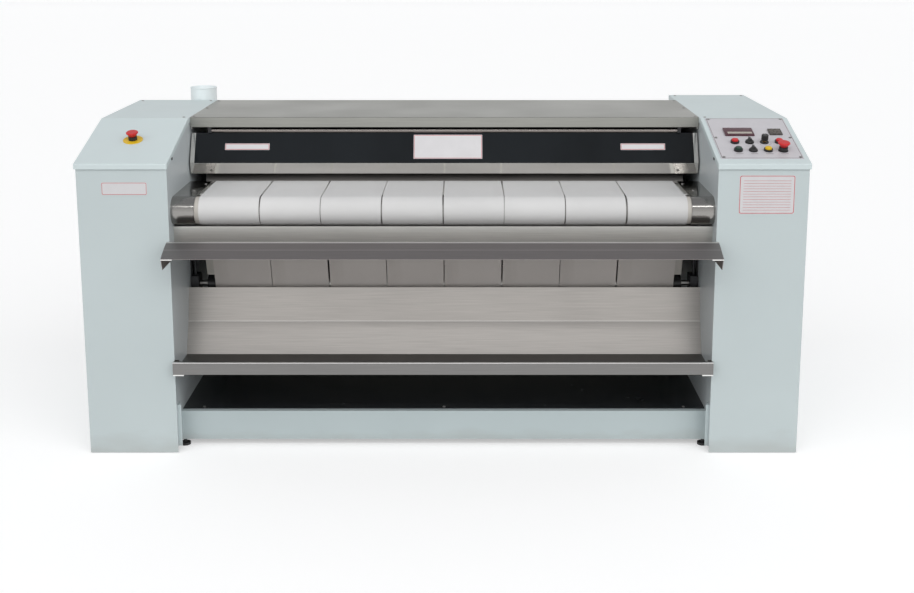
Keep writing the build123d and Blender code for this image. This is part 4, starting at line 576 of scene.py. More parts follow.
belts_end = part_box("feed_belts")[1].x
nose_steel = worn_steel("nose_roller_steel", NOSE_STEEL, 0.40, 0.60)
banded(nose_steel, belts_end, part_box("lower_roller")[1].x - COLLAR_INSET, CREAM)
dress(nose_steel, "roller_steel", "nose_roller")
lower_steel = worn_steel("lower_roller_steel", LOWER_STEEL, 0.22, 0.40)
banded(lower_steel, belts_end + RUBBER_END[0], belts_end + RUBBER_END[1], BLACK)
dress(lower_steel, "roller_steel", "lower_roller")
roller_steel = worn_steel("roller_steel", ROLLER_STEEL, 0.25, 0.45)
dress(roller_steel, "roller_steel", "rear_feed_roller", "entry_roller", "exit_roller")
dress(roller_steel, "roller_steel", "rear_lower_roller", "rear_upper_roller")
dress(worn_steel("drum_steel", DRUM_STEEL, 0.30, 0.46, 0.10), "drum_steel", "drum_shell")
dress(worn_steel("drum_end_steel", DRUM_END_STEEL, 0.42, 0.62, 0.25), "drum_steel", "drum_ends")


def cast_iron(name, color):
    """Painted casting: pebbled skin, cloudy tone, worn gloss."""
    made = finish(name, color, 0.0, 0.55)
    pebbles = grain(made, 260.0)
    mottle(made, grain(made, 18.0, detail=5.0), color, 0.25)
    gloss(made, pebbles, 0.42, 0.72)
    relief(made, pebbles, 0.30, 0.0006)
    return made


dress(cast_iron("bearing_iron", IRON_PAINT), "bearing_iron", "roller_bearings", "drum_bearings")
sprocket_steel = worn_steel("sprocket_steel", SPROCKET_STEEL, 0.35, 0.60, 0.30)
dress(sprocket_steel, "chain_steel", "drum_sprockets", "drive_sprocket")
dress(worn_steel("oiled_chain", CHAIN_STEEL, 0.30, 0.55, 0.35), "chain_steel", "drive_chains")

# ---- Front guides, nose ends and feet ---------------------------------------------------------------
# Polished wraps over the nose roller's ends, cream nylon guides beside the long belts, black hinge
# blocks for the guard and black rubber levelling feet.
MIRROR = (0.33, 0.32, 0.305, 1)
BLOCK_BLACK = (0.020, 0.020, 0.022, 1)
FOOT_BLACK = (0.018, 0.018, 0.019, 1)


def polished(name, color, roughness):
    """Polished stainless: faint lines, finger marks in the gloss."""
    made = finish(name, color, 1.0, roughness)
    mottle(made, grain(made, 9.0, (0.3, 3, 3), 4.0), color, 0.05)
    gloss(made, grain(made, 22.0, detail=6.0), roughness * 0.6, roughness * 1.8)
    return made


def moulded(name, color, roughness, spread=0.06):
    """Moulded plastic: even tone with slight wear in the gloss and a fine skin."""
    made = finish(name, color, 0.0, roughness)
    mottle(made, grain(made, 30.0), color, spread)
    gloss(made, grain(made, 90.0), roughness - 0.10, roughness + 0.14)
    relief(made, grain(made, 1600.0, detail=2.0), 0.12, 0.0002)
    return made


dress(polished("nose_mirror", MIRROR, 0.13), "polished_stainless", "nose_end_guards")
dress(moulded("cream_nylon", CREAM, 0.48), "guide_plastic", "edge_guides")
dress(cast_iron("black_blocks", BLOCK_BLACK), "black_metal", "guard_brackets")
dress(cast_iron("foot_rubber", FOOT_BLACK), "black_metal", "levelling_feet")

# ---- Finger guard -----------------------------------------------------------------------------------
# A polished frame that swings on a rod under the hood, with a dark glossy pane. Three blank white
# plates with a thin red edge are stuck on the pane.
RIGHT = Vector((1, 0, 0))
PLATE_SHEET = 0.0004
PLATE_LIFT = 0.0001
CORNER_STEPS = 6
SMALLEST_CORNER = 0.0002
PANE = (0.008, 0.010, 0.012, 1)
PANE_SPECULAR = 0.22
ABOVE_PANE, ABOVE_ROD = 0.0015, 0.001
GUARD_MIRROR = (0.70, 0.68, 0.65, 1)
ROD = (0.26, 0.235, 0.22, 1)
PLATE_WHITE = (0.62, 0.61, 0.62, 1)
PLATE_RED = (0.50, 0.045, 0.06, 1)
GUARD_PLATES = (
    ("left_guard_plate", -0.764, -0.609, 0.9735, 0.9945),
    ("middle_guard_plate", -0.107, 0.132, 0.9450, 1.0230),
    ("right_guard_plate", 0.614, 0.769, 0.9735, 0.9945),
)
RULED_MARGIN = 0.026

guard_mirror = polished("guard_mirror", GUARD_MIRROR, 0.09)
pane_top, rod_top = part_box("guard_panel")[1].z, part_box("guard_frame")[1].z
# The rod above the pane gets its own darker, browner colour.
painted_highlight_or_part_band(guard_mirror, pane_top + ABOVE_PANE, rod_top + ABOVE_ROD, ROD)
dress(guard_mirror, "polished_stainless", "guard_frame")
pane_glass = finish("dark_pane", PANE, 0.0, 0.10)
# Painted reflection: stretched streaks in the pane's dark tone stand for streaky reflections.
mottle(pane_glass, grain(pane_glass, 3.0, (1, 0.4, 0.4), 4.0), PANE, 0.35)
gloss(pane_glass, grain(pane_glass, 16.0, detail=5.0), 0.05, 0.16)
skin(pane_glass).inputs["Specular IOR Level"].default_value = PANE_SPECULAR
dress(pane_glass, "smoked_glass", "guard_panel")


def slab(shape, place, middle, size, lift, thickness):
    """Adds a flat box, its underside lifted off a place's XY plane, and gives its corners."""
    centre = Vector((middle[0], middle[1], lift + thickness / 2))
    scale = Matrix.Diagonal((size[0], size[1], thickness, 1))
    return bmesh.ops.create_cube(shape, size=1, matrix=place @ Matrix.Translation(centre) @ scale)["verts"]


def soften(shape, corners, offset):
    """Rounds the edges that run between some corners of a shape."""
    edges = [e for e in shape.edges if all(v in corners for v in e.verts)]
    bmesh.ops.bevel(shape, geom=edges, offset=offset, segments=3, affect="EDGES", profile=0.6)


def bridge(shape, low, high):
    """Joins two closed rings of as many points with a band of faces."""
    for i in range(len(low)):
        j = (i + 1) % len(low)
        shape.faces.new((low[i], low[j], high[j], high[i]))


def rounded(size, corner):
    """Points of a rectangle with round corners, starting with the lower right corner."""
    points = []
    for k, (across, up) in enumerate(((1, -1), (1, 1), (-1, 1), (-1, -1))):
        for i in range(CORNER_STEPS + 1):
            angle = math.radians(-90 + 90 * k + 90 / CORNER_STEPS * i)
            x = across * (size[0] / 2 - corner) + corner * math.cos(angle)
            points.append((x, up * (size[1] / 2 - corner) + corner * math.sin(angle)))
    return points


def edge_line(shape, place, size, width, corner, lift):
    """Adds a thin line round a plate, with round corners, as a low raised band."""
    inner = (size[0] - 2 * width, size[1] - 2 * width)
    top = lift + PLATE_SHEET / 2
    inner_corner = max(corner - width / 2, SMALLEST_CORNER)
    rings = []
    for outline, radius, level in (
        (size, corner, lift),
        (size, corner, top),
        (inner, inner_corner, top),
        (inner, inner_corner, lift),
    ):
        outline_points = rounded(outline, radius)
        rings.append([shape.verts.new(place @ Vector((x, y, level))) for x, y in outline_points])
    for low, high in zip(rings, rings[1:] + rings[:1]):
        bridge(shape, low, high)


def facing(place, right, normal):
    """Matrix of a flat place: where it is, its right and its outward normal."""
    up = normal.cross(right)
    turn = Matrix((right, up, normal)).transposed().to_4x4()
    return Matrix.Translation(place) @ turn


def round_slab(shape, place, size, corner, lift=PLATE_LIFT, thickness=PLATE_SHEET):
    """Adds a flat plate with round corners on a place's XY plane."""
    low, high = [
        [shape.verts.new(place @ Vector((x, y, level))) for x, y in rounded(size, corner)]
        for level in (lift, lift + thickness)
    ]
    shape.faces.new(high)
    shape.faces.new(low[::-1])
    bridge(shape, low, high)


def plate(name, place, size, line, corner, lines=0, body="frame"):
    """Bare plate with a thin line near its edge and, if any are asked for, faint ruled lines."""
    sheet = bmesh.new()
    round_slab(sheet, place, size, corner)
    piece(name, sheet, plate_white, "white_paint", body=body)
    print_work = bmesh.new()
    plate_top = PLATE_LIFT + PLATE_SHEET
    edge_line(print_work, place, (size[0] - 0.003, size[1] - 0.003), line, corner, plate_top)
    for i in range(lines):
        level = size[1] * (0.36 - 0.76 * i / max(1, lines - 1))
        slab(print_work, place, (0, level), (size[0] - RULED_MARGIN, 0.0008), plate_top, PLATE_SHEET / 2)
    piece(name + "_line", print_work, plate_red, "red_plastic", body=body)


plate_white = moulded("plate_white", PLATE_WHITE, 0.42, 0.02)
plate_red = moulded("plate_red", PLATE_RED, 0.45)
pane_mesh = frame["nodes"]["guard_panel"].data
pane_front = max((p for p in pane_mesh.polygons if p.normal.y < -0.5), key=lambda p: p.area)
pane_place = facing(pane_front.center.copy(), RIGHT, pane_front.normal.copy())
pane_up = pane_place.to_3x3().col[1]
for name, low_x, high_x, low_z, high_z in GUARD_PLATES:
    up = ((low_z + high_z) / 2 - pane_front.center.z) / pane_up.z
    spot = pane_place @ Matrix.Translation(Vector(((low_x + high_x) / 2 - pane_front.center.x, up, 0)))
    plate(name, spot, (high_x - low_x, (high_z - low_z) / pane_up.z), 0.0014, 0.0015, body="guard")

# ---- Cabinet plates ---------------------------------------------------------------------------------
# Thin white plates stuck flat to the cabinets' fronts, with a red edge line: a small bare one on the
# left and a larger one with ruled lines on the right.
LEFT_PLATE_AT, LEFT_PLATE_SIZE = (-1.0275, 0.902), (0.147, 0.042)
RIGHT_PLATE_AT, RIGHT_PLATE_SIZE = (1.047, 0.8825), (0.180, 0.127)


def front_face(x, z):
    return facing(Vector((x, FRONT_Y, z)), RIGHT, Vector((0, -1, 0)))


plate("left_cabinet_plate", front_face(*LEFT_PLATE_AT), LEFT_PLATE_SIZE, 0.0013, 0.004)
plate("right_cabinet_plate", front_face(*RIGHT_PLATE_AT), RIGHT_PLATE_SIZE, 0.0018, 0.006, lines=12)

# ---- Painted highlights at tab ends and shade in lid slots ------------------------------------------
# Short bright polished strips at the shelf's and the tray's ends are painted highlights, where the end
# tabs of their sheet catch the light; a black patch on each lid's inner side is painted slot shade.
TAB_HIGHLIGHT_STEEL = (0.86, 0.86, 0.84, 1)
TAB_LENGTH = 0.036
TAB_HEIGHT = 0.0042
TAB_SHEET = 0.001
TAB_OUT = 0.0006
SHELF_TAB_RISE, TRAY_TAB_RISE = 0.0385, 0.0008
# Size and place of the painted shade patches in the lid slots.
SLOT_SHADE_SIZE = (0.019, 0.0085)
SLOT_SHADE_CORNER, SLOT_SHADE_THICK = 0.0040, 0.0008
SLOT_SHADE_BACK, SLOT_SHADE_HEIGHT = 0.072, 0.988

# Painted highlights: bright polished strips where the end tabs catch the light.
tabs = bmesh.new()
for node, rise in (("feed_shelf", SHELF_TAB_RISE), ("linen_tray", TRAY_TAB_RISE)):
    low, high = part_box(node)
    for side, end in ((1, low.x), (-1, high.x)):
        middle = Vector((end + side * TAB_LENGTH / 2, low.y + TAB_OUT, low.z + rise - TAB_HEIGHT / 2))
        tab_place = facing(middle, RIGHT, Vector((0, -1, 0)))
        slab(tabs, tab_place, (0, 0), (TAB_LENGTH, TAB_HEIGHT), -TAB_SHEET, TAB_SHEET)
piece("folded_tabs", tabs, polished("tab_highlight_steel", TAB_HIGHLIGHT_STEEL, 0.20), "polished_stainless")
# Painted shade: a flat black patch stands for the dark inside of each lid's slot.
slot_shades = bmesh.new()
for node, side in (("left_lid", 1), ("right_lid", -1)):
    inner_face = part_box(node)[1].x if side > 0 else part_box(node)[0].x
    slot_shade_spot = Vector((inner_face, FRONT_Y + SLOT_SHADE_BACK, SLOT_SHADE_HEIGHT))
    slot_shade_place = facing(slot_shade_spot, Vector((0, side, 0)), Vector((side, 0, 0)))
    round_slab(slot_shades, slot_shade_place, SLOT_SHADE_SIZE, SLOT_SHADE_CORNER, 0.0, SLOT_SHADE_THICK)
piece("slot_plugs", slot_shades, cast_iron("slot_shade_black", BLACK), "black_metal")

# ---- Fume blower -----------------------------------------------------------------------------------
# A galvanised scroll fan on the left cabinet's back with a flange motor; its white spigot, with a
# rolled rim, stands above the lid for the exhaust hose.
WHITE = (0.80, 0.86, 0.87, 1)
ZINC = (0.46, 0.47, 0.48, 1)
STACK_WALL = 0.0015
FLUTES_FROM = 0.010


def turned(shape, profile, place, sides=48, closed=False, flutes=0, flute_depth=0.0):
    """Adds a solid of revolution about a place's Z, from a profile of (radius, height)."""
    rings = []
    for radius, level in profile:
        fluted = flutes and radius > FLUTES_FROM
        ring = []
        for i in range(sides if radius else 1):
            angle = 2 * math.pi * i / sides
            cut = flute_depth * (0.5 - 0.5 * math.cos(flutes * angle)) if fluted else 0
            x, y = (radius - cut) * math.cos(angle), (radius - cut) * math.sin(angle)
            ring.append(shape.verts.new(place @ Vector((x, y, level))))
        rings.append(ring)
    pairs = list(zip(rings, rings[1:])) + ([(rings[-1], rings[0])] if closed else [])
    for low, high in pairs:
        for i in range(sides):
            j = i + 1
            corners = [low[i % len(low)], low[j % len(low)], high[j % len(high)], high[i % len(high)]]
            unique = [corner for k, corner in enumerate(corners) if corner not in corners[:k]]
            if len(unique) > 2:
                shape.faces.new(unique)


def galvanised(name, color):
    """Zinc coated sheet with its crystal pattern."""
    made = finish(name, color, 0.9, 0.42)
    where = put(made, "ShaderNodeTexCoord")
    cells = put(made, "ShaderNodeTexVoronoi", Scale=60.0)
    wire(made, where, "Object", cells, "Vector")
    shade = put(made, "ShaderNodeRGBToBW")
    wire(made, cells, "Color", shade, "Color")
    tones = put(made, "ShaderNodeValToRGB")
    tones.color_ramp.elements[0].color = [c * 0.85 for c in color[:3]] + [1]
    tones.color_ramp.elements[1].color = [min(1, c * 1.12) for c in color[:3]] + [1]
    wire(made, shade, "Val", tones, "Fac")
    wire(made, tones, "Color", skin(made), "Base Color")
    gloss(made, grain(made, 40.0), 0.34, 0.52)
    return made


stack_low, stack_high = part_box("fume_stack")
stack_place = Matrix.Translation(((stack_low.x + stack_high.x) / 2, (stack_low.y + stack_high.y) / 2, 0))
stack_radius = (stack_high.x - stack_low.x) / 2
rim = stack_high.z
stack_profile = [
    (stack_radius - STACK_WALL, stack_low.z),
    (stack_radius, stack_low.z),
    (stack_radius, rim - 0.0060),
    (stack_radius + 0.0010, rim - 0.0050),
    (stack_radius + 0.0014, rim - 0.0030),
    (stack_radius + 0.0010, rim - 0.0008),
    (stack_radius, rim),
    (stack_radius - 0.0010, rim - 0.0004),
    (stack_radius - STACK_WALL, rim - 0.0012),
]
stack = bmesh.new()
turned(stack, stack_profile, stack_place, 72, closed=True)
piece("exhaust_spigot", stack, painted("white_spigot", WHITE, 0.36), "white_paint", "fume_stack")
dress(galvanised("zinc_sheet", ZINC), "dark_sheet", "blower_housing", "blower_impeller")

# ---- Motors, gearbox, heater and electrics ---------------------------------------------------------
# What works behind the covers: a worm gearbox with a ribbed motor, the fan's motor, the fixed heating
# rods inside the drum and a grey switch box.
MOTOR_BLUE = (0.10, 0.14, 0.18, 1)
GEARBOX_GREY = (0.16, 0.18, 0.19, 1)
HEATED_STEEL = (0.24, 0.21, 0.20, 1)
BOX_GREY = (0.52, 0.53, 0.51, 1)

dress(cast_iron("motor_paint", MOTOR_BLUE), "motor_paint", "gear_motor", "fan_motor")
dress(cast_iron("gearbox_paint", GEARBOX_GREY), "motor_paint", "gearbox")
dress(worn_steel("heat_blued_steel", HEATED_STEEL, 0.35, 0.60, 0.30), "drum_steel", "heater_bundle")
dress(painted("box_paint", BOX_GREY, 0.42), "panel_sheet", "electrics_box")

# ---- Control panel ---------------------------------------------------------------------------------
# A printed plate on the right lid's slope: a thin dark line round its edge, a dial scale and plain
# strokes at the controls, a maroon display with a pale window and a small meter.
PANEL_COLOR = (0.56, 0.545, 0.57, 1)
PRINT_COLOR = (0.075, 0.030, 0.038, 1)
MAROON = (0.065, 0.012, 0.022, 1)
METER = (0.060, 0.052, 0.045, 1)
WINDOW = (0.42, 0.39, 0.34, 1)
METER_LINES = (0.16, 0.14, 0.12, 1)
PANEL_SHEET = 0.002
FACE_TOLERANCE = 1e-5
PRINT_LIFT, PRINT_THICK = 0.0001, 0.0002
LINE_INSET = 0.003
BUTTON_TOP, SELECTOR_TOP, KNOB_TOP, STOP_TOP = 0.0125, 0.0155, 0.0285, 0.0305
BELOW = ((0, -0.024), (0.024, 0.0016))
ABOVE = ((0.002, 0.0215), (0.020, 0.0014))
STROKES = (
    ("green_button", BUTTON_TOP, BELOW),
    ("lower_selector", SELECTOR_TOP, BELOW),
    ("yellow_button", BUTTON_TOP, BELOW),
    ("panel_stop_head", STOP_TOP, BELOW),
    ("red_button", BUTTON_TOP, ABOVE),
    ("upper_selector", SELECTOR_TOP, ABOVE),
    ("second_red_button", BUTTON_TOP, ABOVE),
)
SCALE_MARKS = 11
SCALE_RADIUS = 0.0225
DISPLAYS_PART_AT = 0.03
METER_STROKES = 7
DISPLAY_EDGE = 0.0012
GLASS_THICK = 0.0003

press_axis = next(joint["axis"] for joint in frame["joints"] if joint["name"] == "red_button_press")
slope_normal = -Vector(press_axis).normalized()
panel_low, panel_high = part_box("control_panel")


def top_middle(points, normal):
    """Middle of the face that ends a set of points along a normal."""
    top = max(p.dot(normal) for p in points)
    face = [p for p in points if p.dot(normal) > top - FACE_TOLERANCE]
    return sum(face, Vector()) / len(face)


def seat(node, reach):
    """Flat place under a control: the middle of its top face, taken down the slope's normal."""
    middle = top_middle([v.co for v in frame["nodes"][node].data.vertices], slope_normal)
    return facing(middle - slope_normal * reach, RIGHT, slope_normal)


panel_points = [v.co for v in frame["nodes"]["control_panel"].data.vertices]
panel_middle = (panel_low + panel_high) / 2
panel_place = facing(panel_middle + slope_normal * PANEL_SHEET / 2, RIGHT, slope_normal)
to_panel = panel_place.inverted()
flat = [to_panel @ p for p in panel_points]
panel_size = (max(p.x for p in flat) * 2, max(p.y for p in flat) * 2)
dress(moulded("panel_face", PANEL_COLOR, 0.34, 0.025), "panel_sheet", "control_panel")
dress(moulded("switch_black", BLACK, 0.42), "black_plastic", "switch_bodies")

print_work = bmesh.new()
line_size = (panel_size[0] - 2 * LINE_INSET, panel_size[1] - 2 * LINE_INSET)
edge_line(print_work, panel_place, line_size, 0.0011, 0.002, PRINT_LIFT)
for node, reach, (away, stroke_size) in STROKES:
    control = to_panel @ seat(node, reach).translation
    stroke = (control.x + away[0], control.y + away[1])
    slab(print_work, panel_place, stroke, stroke_size, PRINT_LIFT, PRINT_THICK)
knob_place = seat("speed_knob", KNOB_TOP)
for i in range(SCALE_MARKS):
    turn = Matrix.Rotation(math.radians(225 - 27 * i), 4, "Z")
    mark_length = 0.0045 if i % 5 == 0 else 0.003
    slab(print_work, knob_place @ turn, (SCALE_RADIUS, 0), (mark_length, 0.0008), PRINT_LIFT, PRINT_THICK)
piece("panel_print", print_work, moulded("panel_ink", PRINT_COLOR, 0.5), "black_plastic")

display_mesh = frame["nodes"]["panel_displays"].data
display_points = [to_panel @ v.co for v in display_mesh.vertices]
display, window, meter, strokes = bmesh.new(), bmesh.new(), bmesh.new(), bmesh.new()
for side, body_shape in ((-1, display), (1, meter)):
    own = [p for p in display_points if (p.x - DISPLAYS_PART_AT) * side > 0]
    low_x, high_x = min(p.x for p in own), max(p.x for p in own)
    low_y, high_y = min(p.y for p in own), max(p.y for p in own)
    middle = ((low_x + high_x) / 2, (low_y + high_y) / 2)
    wide, tall, thick = high_x - low_x, high_y - low_y, max(p.z for p in own)
    soften(body_shape, slab(body_shape, panel_place, middle, (wide, tall), 0.0, thick), DISPLAY_EDGE)
    if side < 0:
        low_middle = (middle[0] + 0.002, middle[1] - tall * 0.20)
        slab(window, panel_place, low_middle, (wide * 0.84, tall * 0.24), thick, GLASS_THICK)
    else:
        for i in range(METER_STROKES):
            level = middle[1] - tall * (0.36 - 0.12 * i)
            slab(strokes, panel_place, (middle[0], level), (wide * 0.82, 0.0011), thick, GLASS_THICK)
maroon_plastic = moulded("maroon_plastic", MAROON, 0.22)
piece("temperature_display", display, maroon_plastic, "display_plastic", "panel_displays")
piece("display_window", window, moulded("pale_window", WINDOW, 0.25), "display_plastic")
piece("speed_meter", meter, moulded("meter_plastic", METER, 0.25), "display_plastic")
piece("meter_strokes", strokes, moulded("meter_lines", METER_LINES, 0.4), "display_plastic")

# ---- Buttons, selectors, knob and emergency stops --------------------------------------------------
# Push buttons with domed caps in black rings, two selectors with a finger bar on a cone, a fluted speed
# knob on a brass stem, and two mushroom stops with flared necks; the left one stands on a yellow disc.
RED = (0.56, 0.018, 0.020, 1)
GREEN = (0.014, 0.042, 0.028, 1)
YELLOW = (0.72, 0.47, 0.012, 1)
BRASS = (0.60, 0.42, 0.22, 1)
STEM_RADIUS = 0.0058
CAP_PROFILE = (
    (0, -0.016), (STEM_RADIUS, -0.016), (STEM_RADIUS, 0.0066), (0.0106, 0.0066), (0.0110, 0.0070),
    (0.0110, 0.0112), (0.0107, 0.0121), (0.0099, 0.0126), (0.0080, 0.0128), (0.0050, 0.0129), (0, 0.0129),
)
SELECTOR_PROFILE = (
    (0, -0.019), (STEM_RADIUS, -0.019), (STEM_RADIUS, 0.0036), (0.0134, 0.0036), (0.0138, 0.0042),
    (0.0136, 0.0056), (0.0118, 0.0076), (0.0096, 0.0092), (0.0080, 0.0108), (0.0074, 0.0126),
    (0.0070, 0.0132), (0, 0.0134),
)
KNOB_PROFILE = (
    (0, 0.0094), (0.0092, 0.0094), (0.0108, 0.0099), (0.0115, 0.0112), (0.0115, 0.0258), (0.0110, 0.0274),
    (0.0096, 0.0284), (0, 0.0285),
)
KNOB_STEM_PROFILE = (
    (0, -0.019), (STEM_RADIUS, -0.019), (STEM_RADIUS, 0.0036), (0.0042, 0.0040), (0.0042, 0.0096),
    (0, 0.0096),
)
STOP_PROFILE = (
    (0, -0.005), (STEM_RADIUS, -0.005), (STEM_RADIUS, 0.0130), (0.0094, 0.0136), (0.0094, 0.0183),
    (0.0143, 0.0186), (0.0149, 0.0196), (0.0153, 0.0216), (0.0166, 0.0236), (0.0190, 0.0251),
    (0.0199, 0.0264), (0.0200, 0.0277), (0.0196, 0.0291), (0.0184, 0.0300), (0.0160, 0.0305),
    (0.0080, 0.0302), (0, 0.0300),
)
DISC_PROFILE = (
    (0.0148, -0.0001), (0.0322, -0.0001), (0.0324, 0.0004), (0.0324, 0.0019), (0.0319, 0.0024),
    (0.0148, 0.0024),
)
BAR_SIZE, BAR_FROM, BAR_HEIGHT = (0.0066, 0.0235), 0.0100, 0.0068
BAR_EDGE = 0.0014
CAP_SIDES, STOP_SIDES, STEM_SIDES = 48, 64, 32
KNOB_FLUTES = 18
MARK_THICK = 0.0002
red_plastic = moulded("red_plastic", RED, 0.30)
black_plastic = moulded("black_plastic", BLACK, 0.36)


def cap(name, profile, reach, sides, made, slot):
    """Turned cap of a control that is pressed, in place of its node, on its body."""
    shape = bmesh.new()
    turned(shape, profile, seat(name, reach), sides)
    piece(name + "_cap", shape, made, slot, name, body=name + "_body")


for name, made, slot in (
    ("red_button", red_plastic, "red_plastic"),
    ("second_red_button", red_plastic, "red_plastic"),
    ("green_button", moulded("green_plastic", GREEN, 0.32), "green_plastic"),
    ("yellow_button", moulded("yellow_plastic", YELLOW, 0.34), "yellow_plastic"),
):
    cap(name, CAP_PROFILE, BUTTON_TOP, CAP_SIDES, made, slot)

for name in ("upper_selector", "lower_selector"):
    place = seat(name, SELECTOR_TOP)
    shape = bmesh.new()
    turned(shape, SELECTOR_PROFILE, place)
    soften(shape, slab(shape, place, (0, 0.0010), BAR_SIZE, BAR_FROM, BAR_HEIGHT), BAR_EDGE)
    piece(name + "_grip", shape, black_plastic, "black_plastic", name, body=name + "_body")
    mark = bmesh.new()
    slab(mark, place, (0, 0.0080), (0.0012, 0.0070), BAR_FROM + BAR_HEIGHT, MARK_THICK)
    piece(name + "_mark", mark, plate_white, "white_paint", body=name + "_body")

knob = bmesh.new()
turned(knob, KNOB_PROFILE, knob_place, 6 * KNOB_FLUTES, flutes=KNOB_FLUTES, flute_depth=0.0011)
piece("speed_knob_grip", knob, black_plastic, "black_plastic", "speed_knob", body="speed_knob_body")
stem = bmesh.new()
turned(stem, KNOB_STEM_PROFILE, knob_place, STEM_SIDES)
brass = worn_steel("brass", BRASS, 0.20, 0.38)
piece("speed_knob_stem", stem, brass, "chain_steel", body="speed_knob_body")
pointer = bmesh.new()
slab(pointer, knob_place, (0, 0.0060), (0.0014, 0.0075), KNOB_TOP, MARK_THICK)
piece("speed_knob_mark", pointer, plate_white, "white_paint", body="speed_knob_body")

for name in ("panel_stop_head", "left_stop_head"):
    cap(name, STOP_PROFILE, STOP_TOP, STOP_SIDES, red_plastic, "red_plastic")
disc = bmesh.new()
turned(disc, DISC_PROFILE, seat("left_stop_head", STOP_TOP), STOP_SIDES, closed=True)
piece("left_stop_disc", disc, moulded("disc_yellow", YELLOW, 0.38), "yellow_plastic")

# ---- Cover screws ----------------------------------------------------------------------------------
# Pan head screws with a cross recess, one shape repeated on points by a node group. Those on the
# sloping panel stand square to it, the others upright.
SCREW_STEEL = (0.42, 0.41, 0.40, 1)
SCREW_RADIUS = 0.005
SCREW_RISE = 0.0025
SCREW_SIDES = 48
SCREW_RINGS = 10
CROSS_HALF_WIDTH, CROSS_REACH, CROSS_DEPTH = 0.00062, 0.0030, 0.0011
SHANK_RADIUS, SHANK_LENGTH = 0.002, 0.0075
SLOPE_FOOT, TOP_BAND = 0.9, 0.06
screw_steel = worn_steel("screw_steel", SCREW_STEEL, 0.25, 0.45)


def screw_head():
    """One screw at the origin: a polar grid over a dome, pressed in at the cross, and a short shank."""
    shape = bmesh.new()
    rings = []
    for r in [i / (SCREW_RINGS - 1) for i in range(SCREW_RINGS)] + [1.0]:
        on_dome = len(rings) < SCREW_RINGS
        reach = r * SCREW_RADIUS
        level = SCREW_RISE * (1 - 0.45 * r**3) if on_dome else 0.0
        ring = []
        for i in range(SCREW_SIDES if reach else 1):
            angle = 2 * math.pi * i / SCREW_SIDES
            x, y = reach * math.cos(angle), reach * math.sin(angle)
            near, far = sorted((abs(x), abs(y)))
            pressed = on_dome and near < CROSS_HALF_WIDTH and far < CROSS_REACH
            ring.append(shape.verts.new((x, y, level - (CROSS_DEPTH if pressed else 0))))
        rings.append(ring)
    for low, high in zip(rings, rings[1:]):
        for i in range(SCREW_SIDES):
            j = (i + 1) % SCREW_SIDES
            corners = [low[i % len(low)], high[i], high[j]] + ([low[j]] if len(low) > 1 else [])
            shape.faces.new(corners)
    turned(shape, [(SHANK_RADIUS, -SHANK_LENGTH), (SHANK_RADIUS, 0.0)], Matrix.Identity(4), 16)
    bmesh.ops.recalc_face_normals(shape, faces=shape.faces)
    mesh = bpy.data.meshes.new("screw_head")
    shape.to_mesh(mesh)
    shape.free()
    return bpy.data.objects.new("screw_head", mesh)


def islands(mesh):
    """Points of each loose part of a mesh."""
    owner = list(range(len(mesh.vertices)))

    def find(i):
        while owner[i] != i:
            owner[i] = owner[owner[i]]
            i = owner[i]
        return i

    for edge in mesh.edges:
        a, b = find(edge.vertices[0]), find(edge.vertices[1])
        owner[a] = b
    parts = {}
    for i, vertex in enumerate(mesh.vertices):
        parts.setdefault(find(i), []).append(vertex.co.copy())
    return list(parts.values())


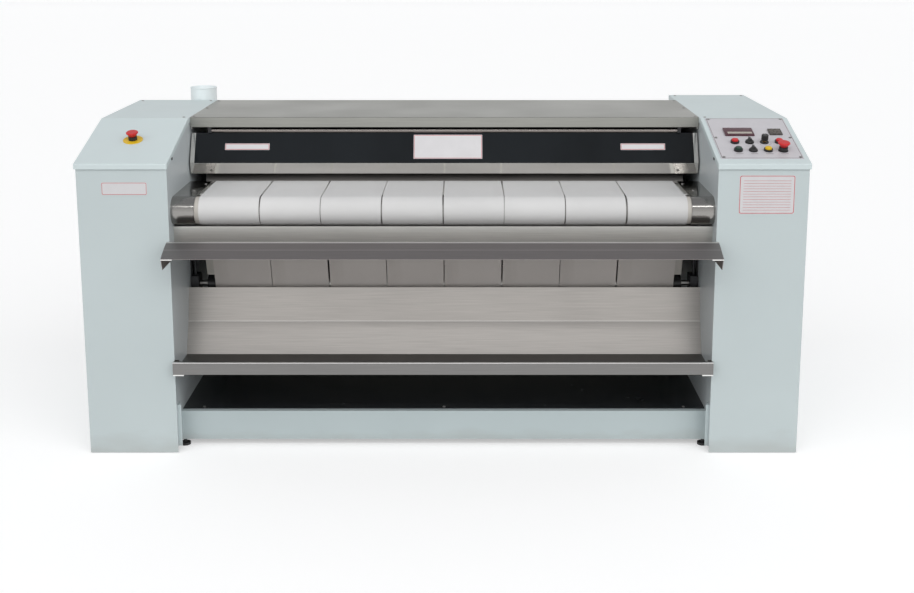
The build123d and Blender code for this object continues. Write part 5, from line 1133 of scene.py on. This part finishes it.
def repeated(name, points, normals, source, made, slot, node):
    """Copies of a source object on points, each turned to its normal, as one real mesh."""
    mesh = bpy.data.meshes.new(name + "_points")
    mesh.from_pydata(points, [], [])
    toward = mesh.attributes.new("toward", "FLOAT_VECTOR", "POINT")
    for spot, normal in zip(toward.data, normals):
        spot.vector = normal
    holder = placed(name + "_points", mesh)
    group = bpy.data.node_groups.new(name, "GeometryNodeTree")
    group.interface.new_socket("Geometry", in_out="INPUT", socket_type="NodeSocketGeometry")
    size_socket = group.interface.new_socket("Head Size", in_out="INPUT", socket_type="NodeSocketFloat")
    group.interface.new_socket("Geometry", in_out="OUTPUT", socket_type="NodeSocketGeometry")
    begin, end = group.nodes.new("NodeGroupInput"), group.nodes.new("NodeGroupOutput")
    copy = group.nodes.new("GeometryNodeObjectInfo")
    copy.inputs["Object"].default_value = source
    direction = group.nodes.new("GeometryNodeInputNamedAttribute")
    direction.data_type = "FLOAT_VECTOR"
    direction.inputs["Name"].default_value = "toward"
    turn = group.nodes.new("FunctionNodeAlignRotationToVector")
    spread = group.nodes.new("GeometryNodeInstanceOnPoints")
    real = group.nodes.new("GeometryNodeRealizeInstances")
    coat = group.nodes.new("GeometryNodeSetMaterial")
    coat.inputs["Material"].default_value = made
    links = group.links
    links.new(direction.outputs["Attribute"], turn.inputs["Vector"])
    links.new(begin.outputs["Geometry"], spread.inputs["Points"])
    links.new(copy.outputs["Geometry"], spread.inputs["Instance"])
    links.new(turn.outputs["Rotation"], spread.inputs["Rotation"])
    links.new(begin.outputs["Head Size"], spread.inputs["Scale"])
    links.new(spread.outputs["Instances"], real.inputs["Geometry"])
    links.new(real.outputs["Geometry"], coat.inputs["Geometry"])
    links.new(coat.outputs["Geometry"], end.inputs["Geometry"])
    modifier = holder.modifiers.new("copies", "NODES")
    modifier.node_group = group
    modifier[size_socket.identifier] = 1.0
    bpy.context.view_layer.update()
    whole = bpy.data.meshes.new_from_object(holder.evaluated_get(bpy.context.evaluated_depsgraph_get()))
    bpy.data.objects.remove(holder)
    shape = bmesh.new()
    shape.from_mesh(whole)
    piece(name, shape, made, slot, node)


spots, leans = [], []
for points in islands(frame["nodes"]["cover_screws"].data):
    middle_x = sum(p.x for p in points) / len(points)
    middle_z = sum(p.z for p in points) / len(points)
    on_panel = panel_low.x < middle_x < panel_high.x and SLOPE_FOOT < middle_z < cad_box[1].z - TOP_BAND
    normal = slope_normal if on_panel else Vector((0, 0, 1))
    spots.append(top_middle(points, normal) - normal * SCREW_RISE)
    leans.append(normal)
repeated("pan_head_screws", spots, leans, screw_head(), screw_steel, "screw_steel", "cover_screws")
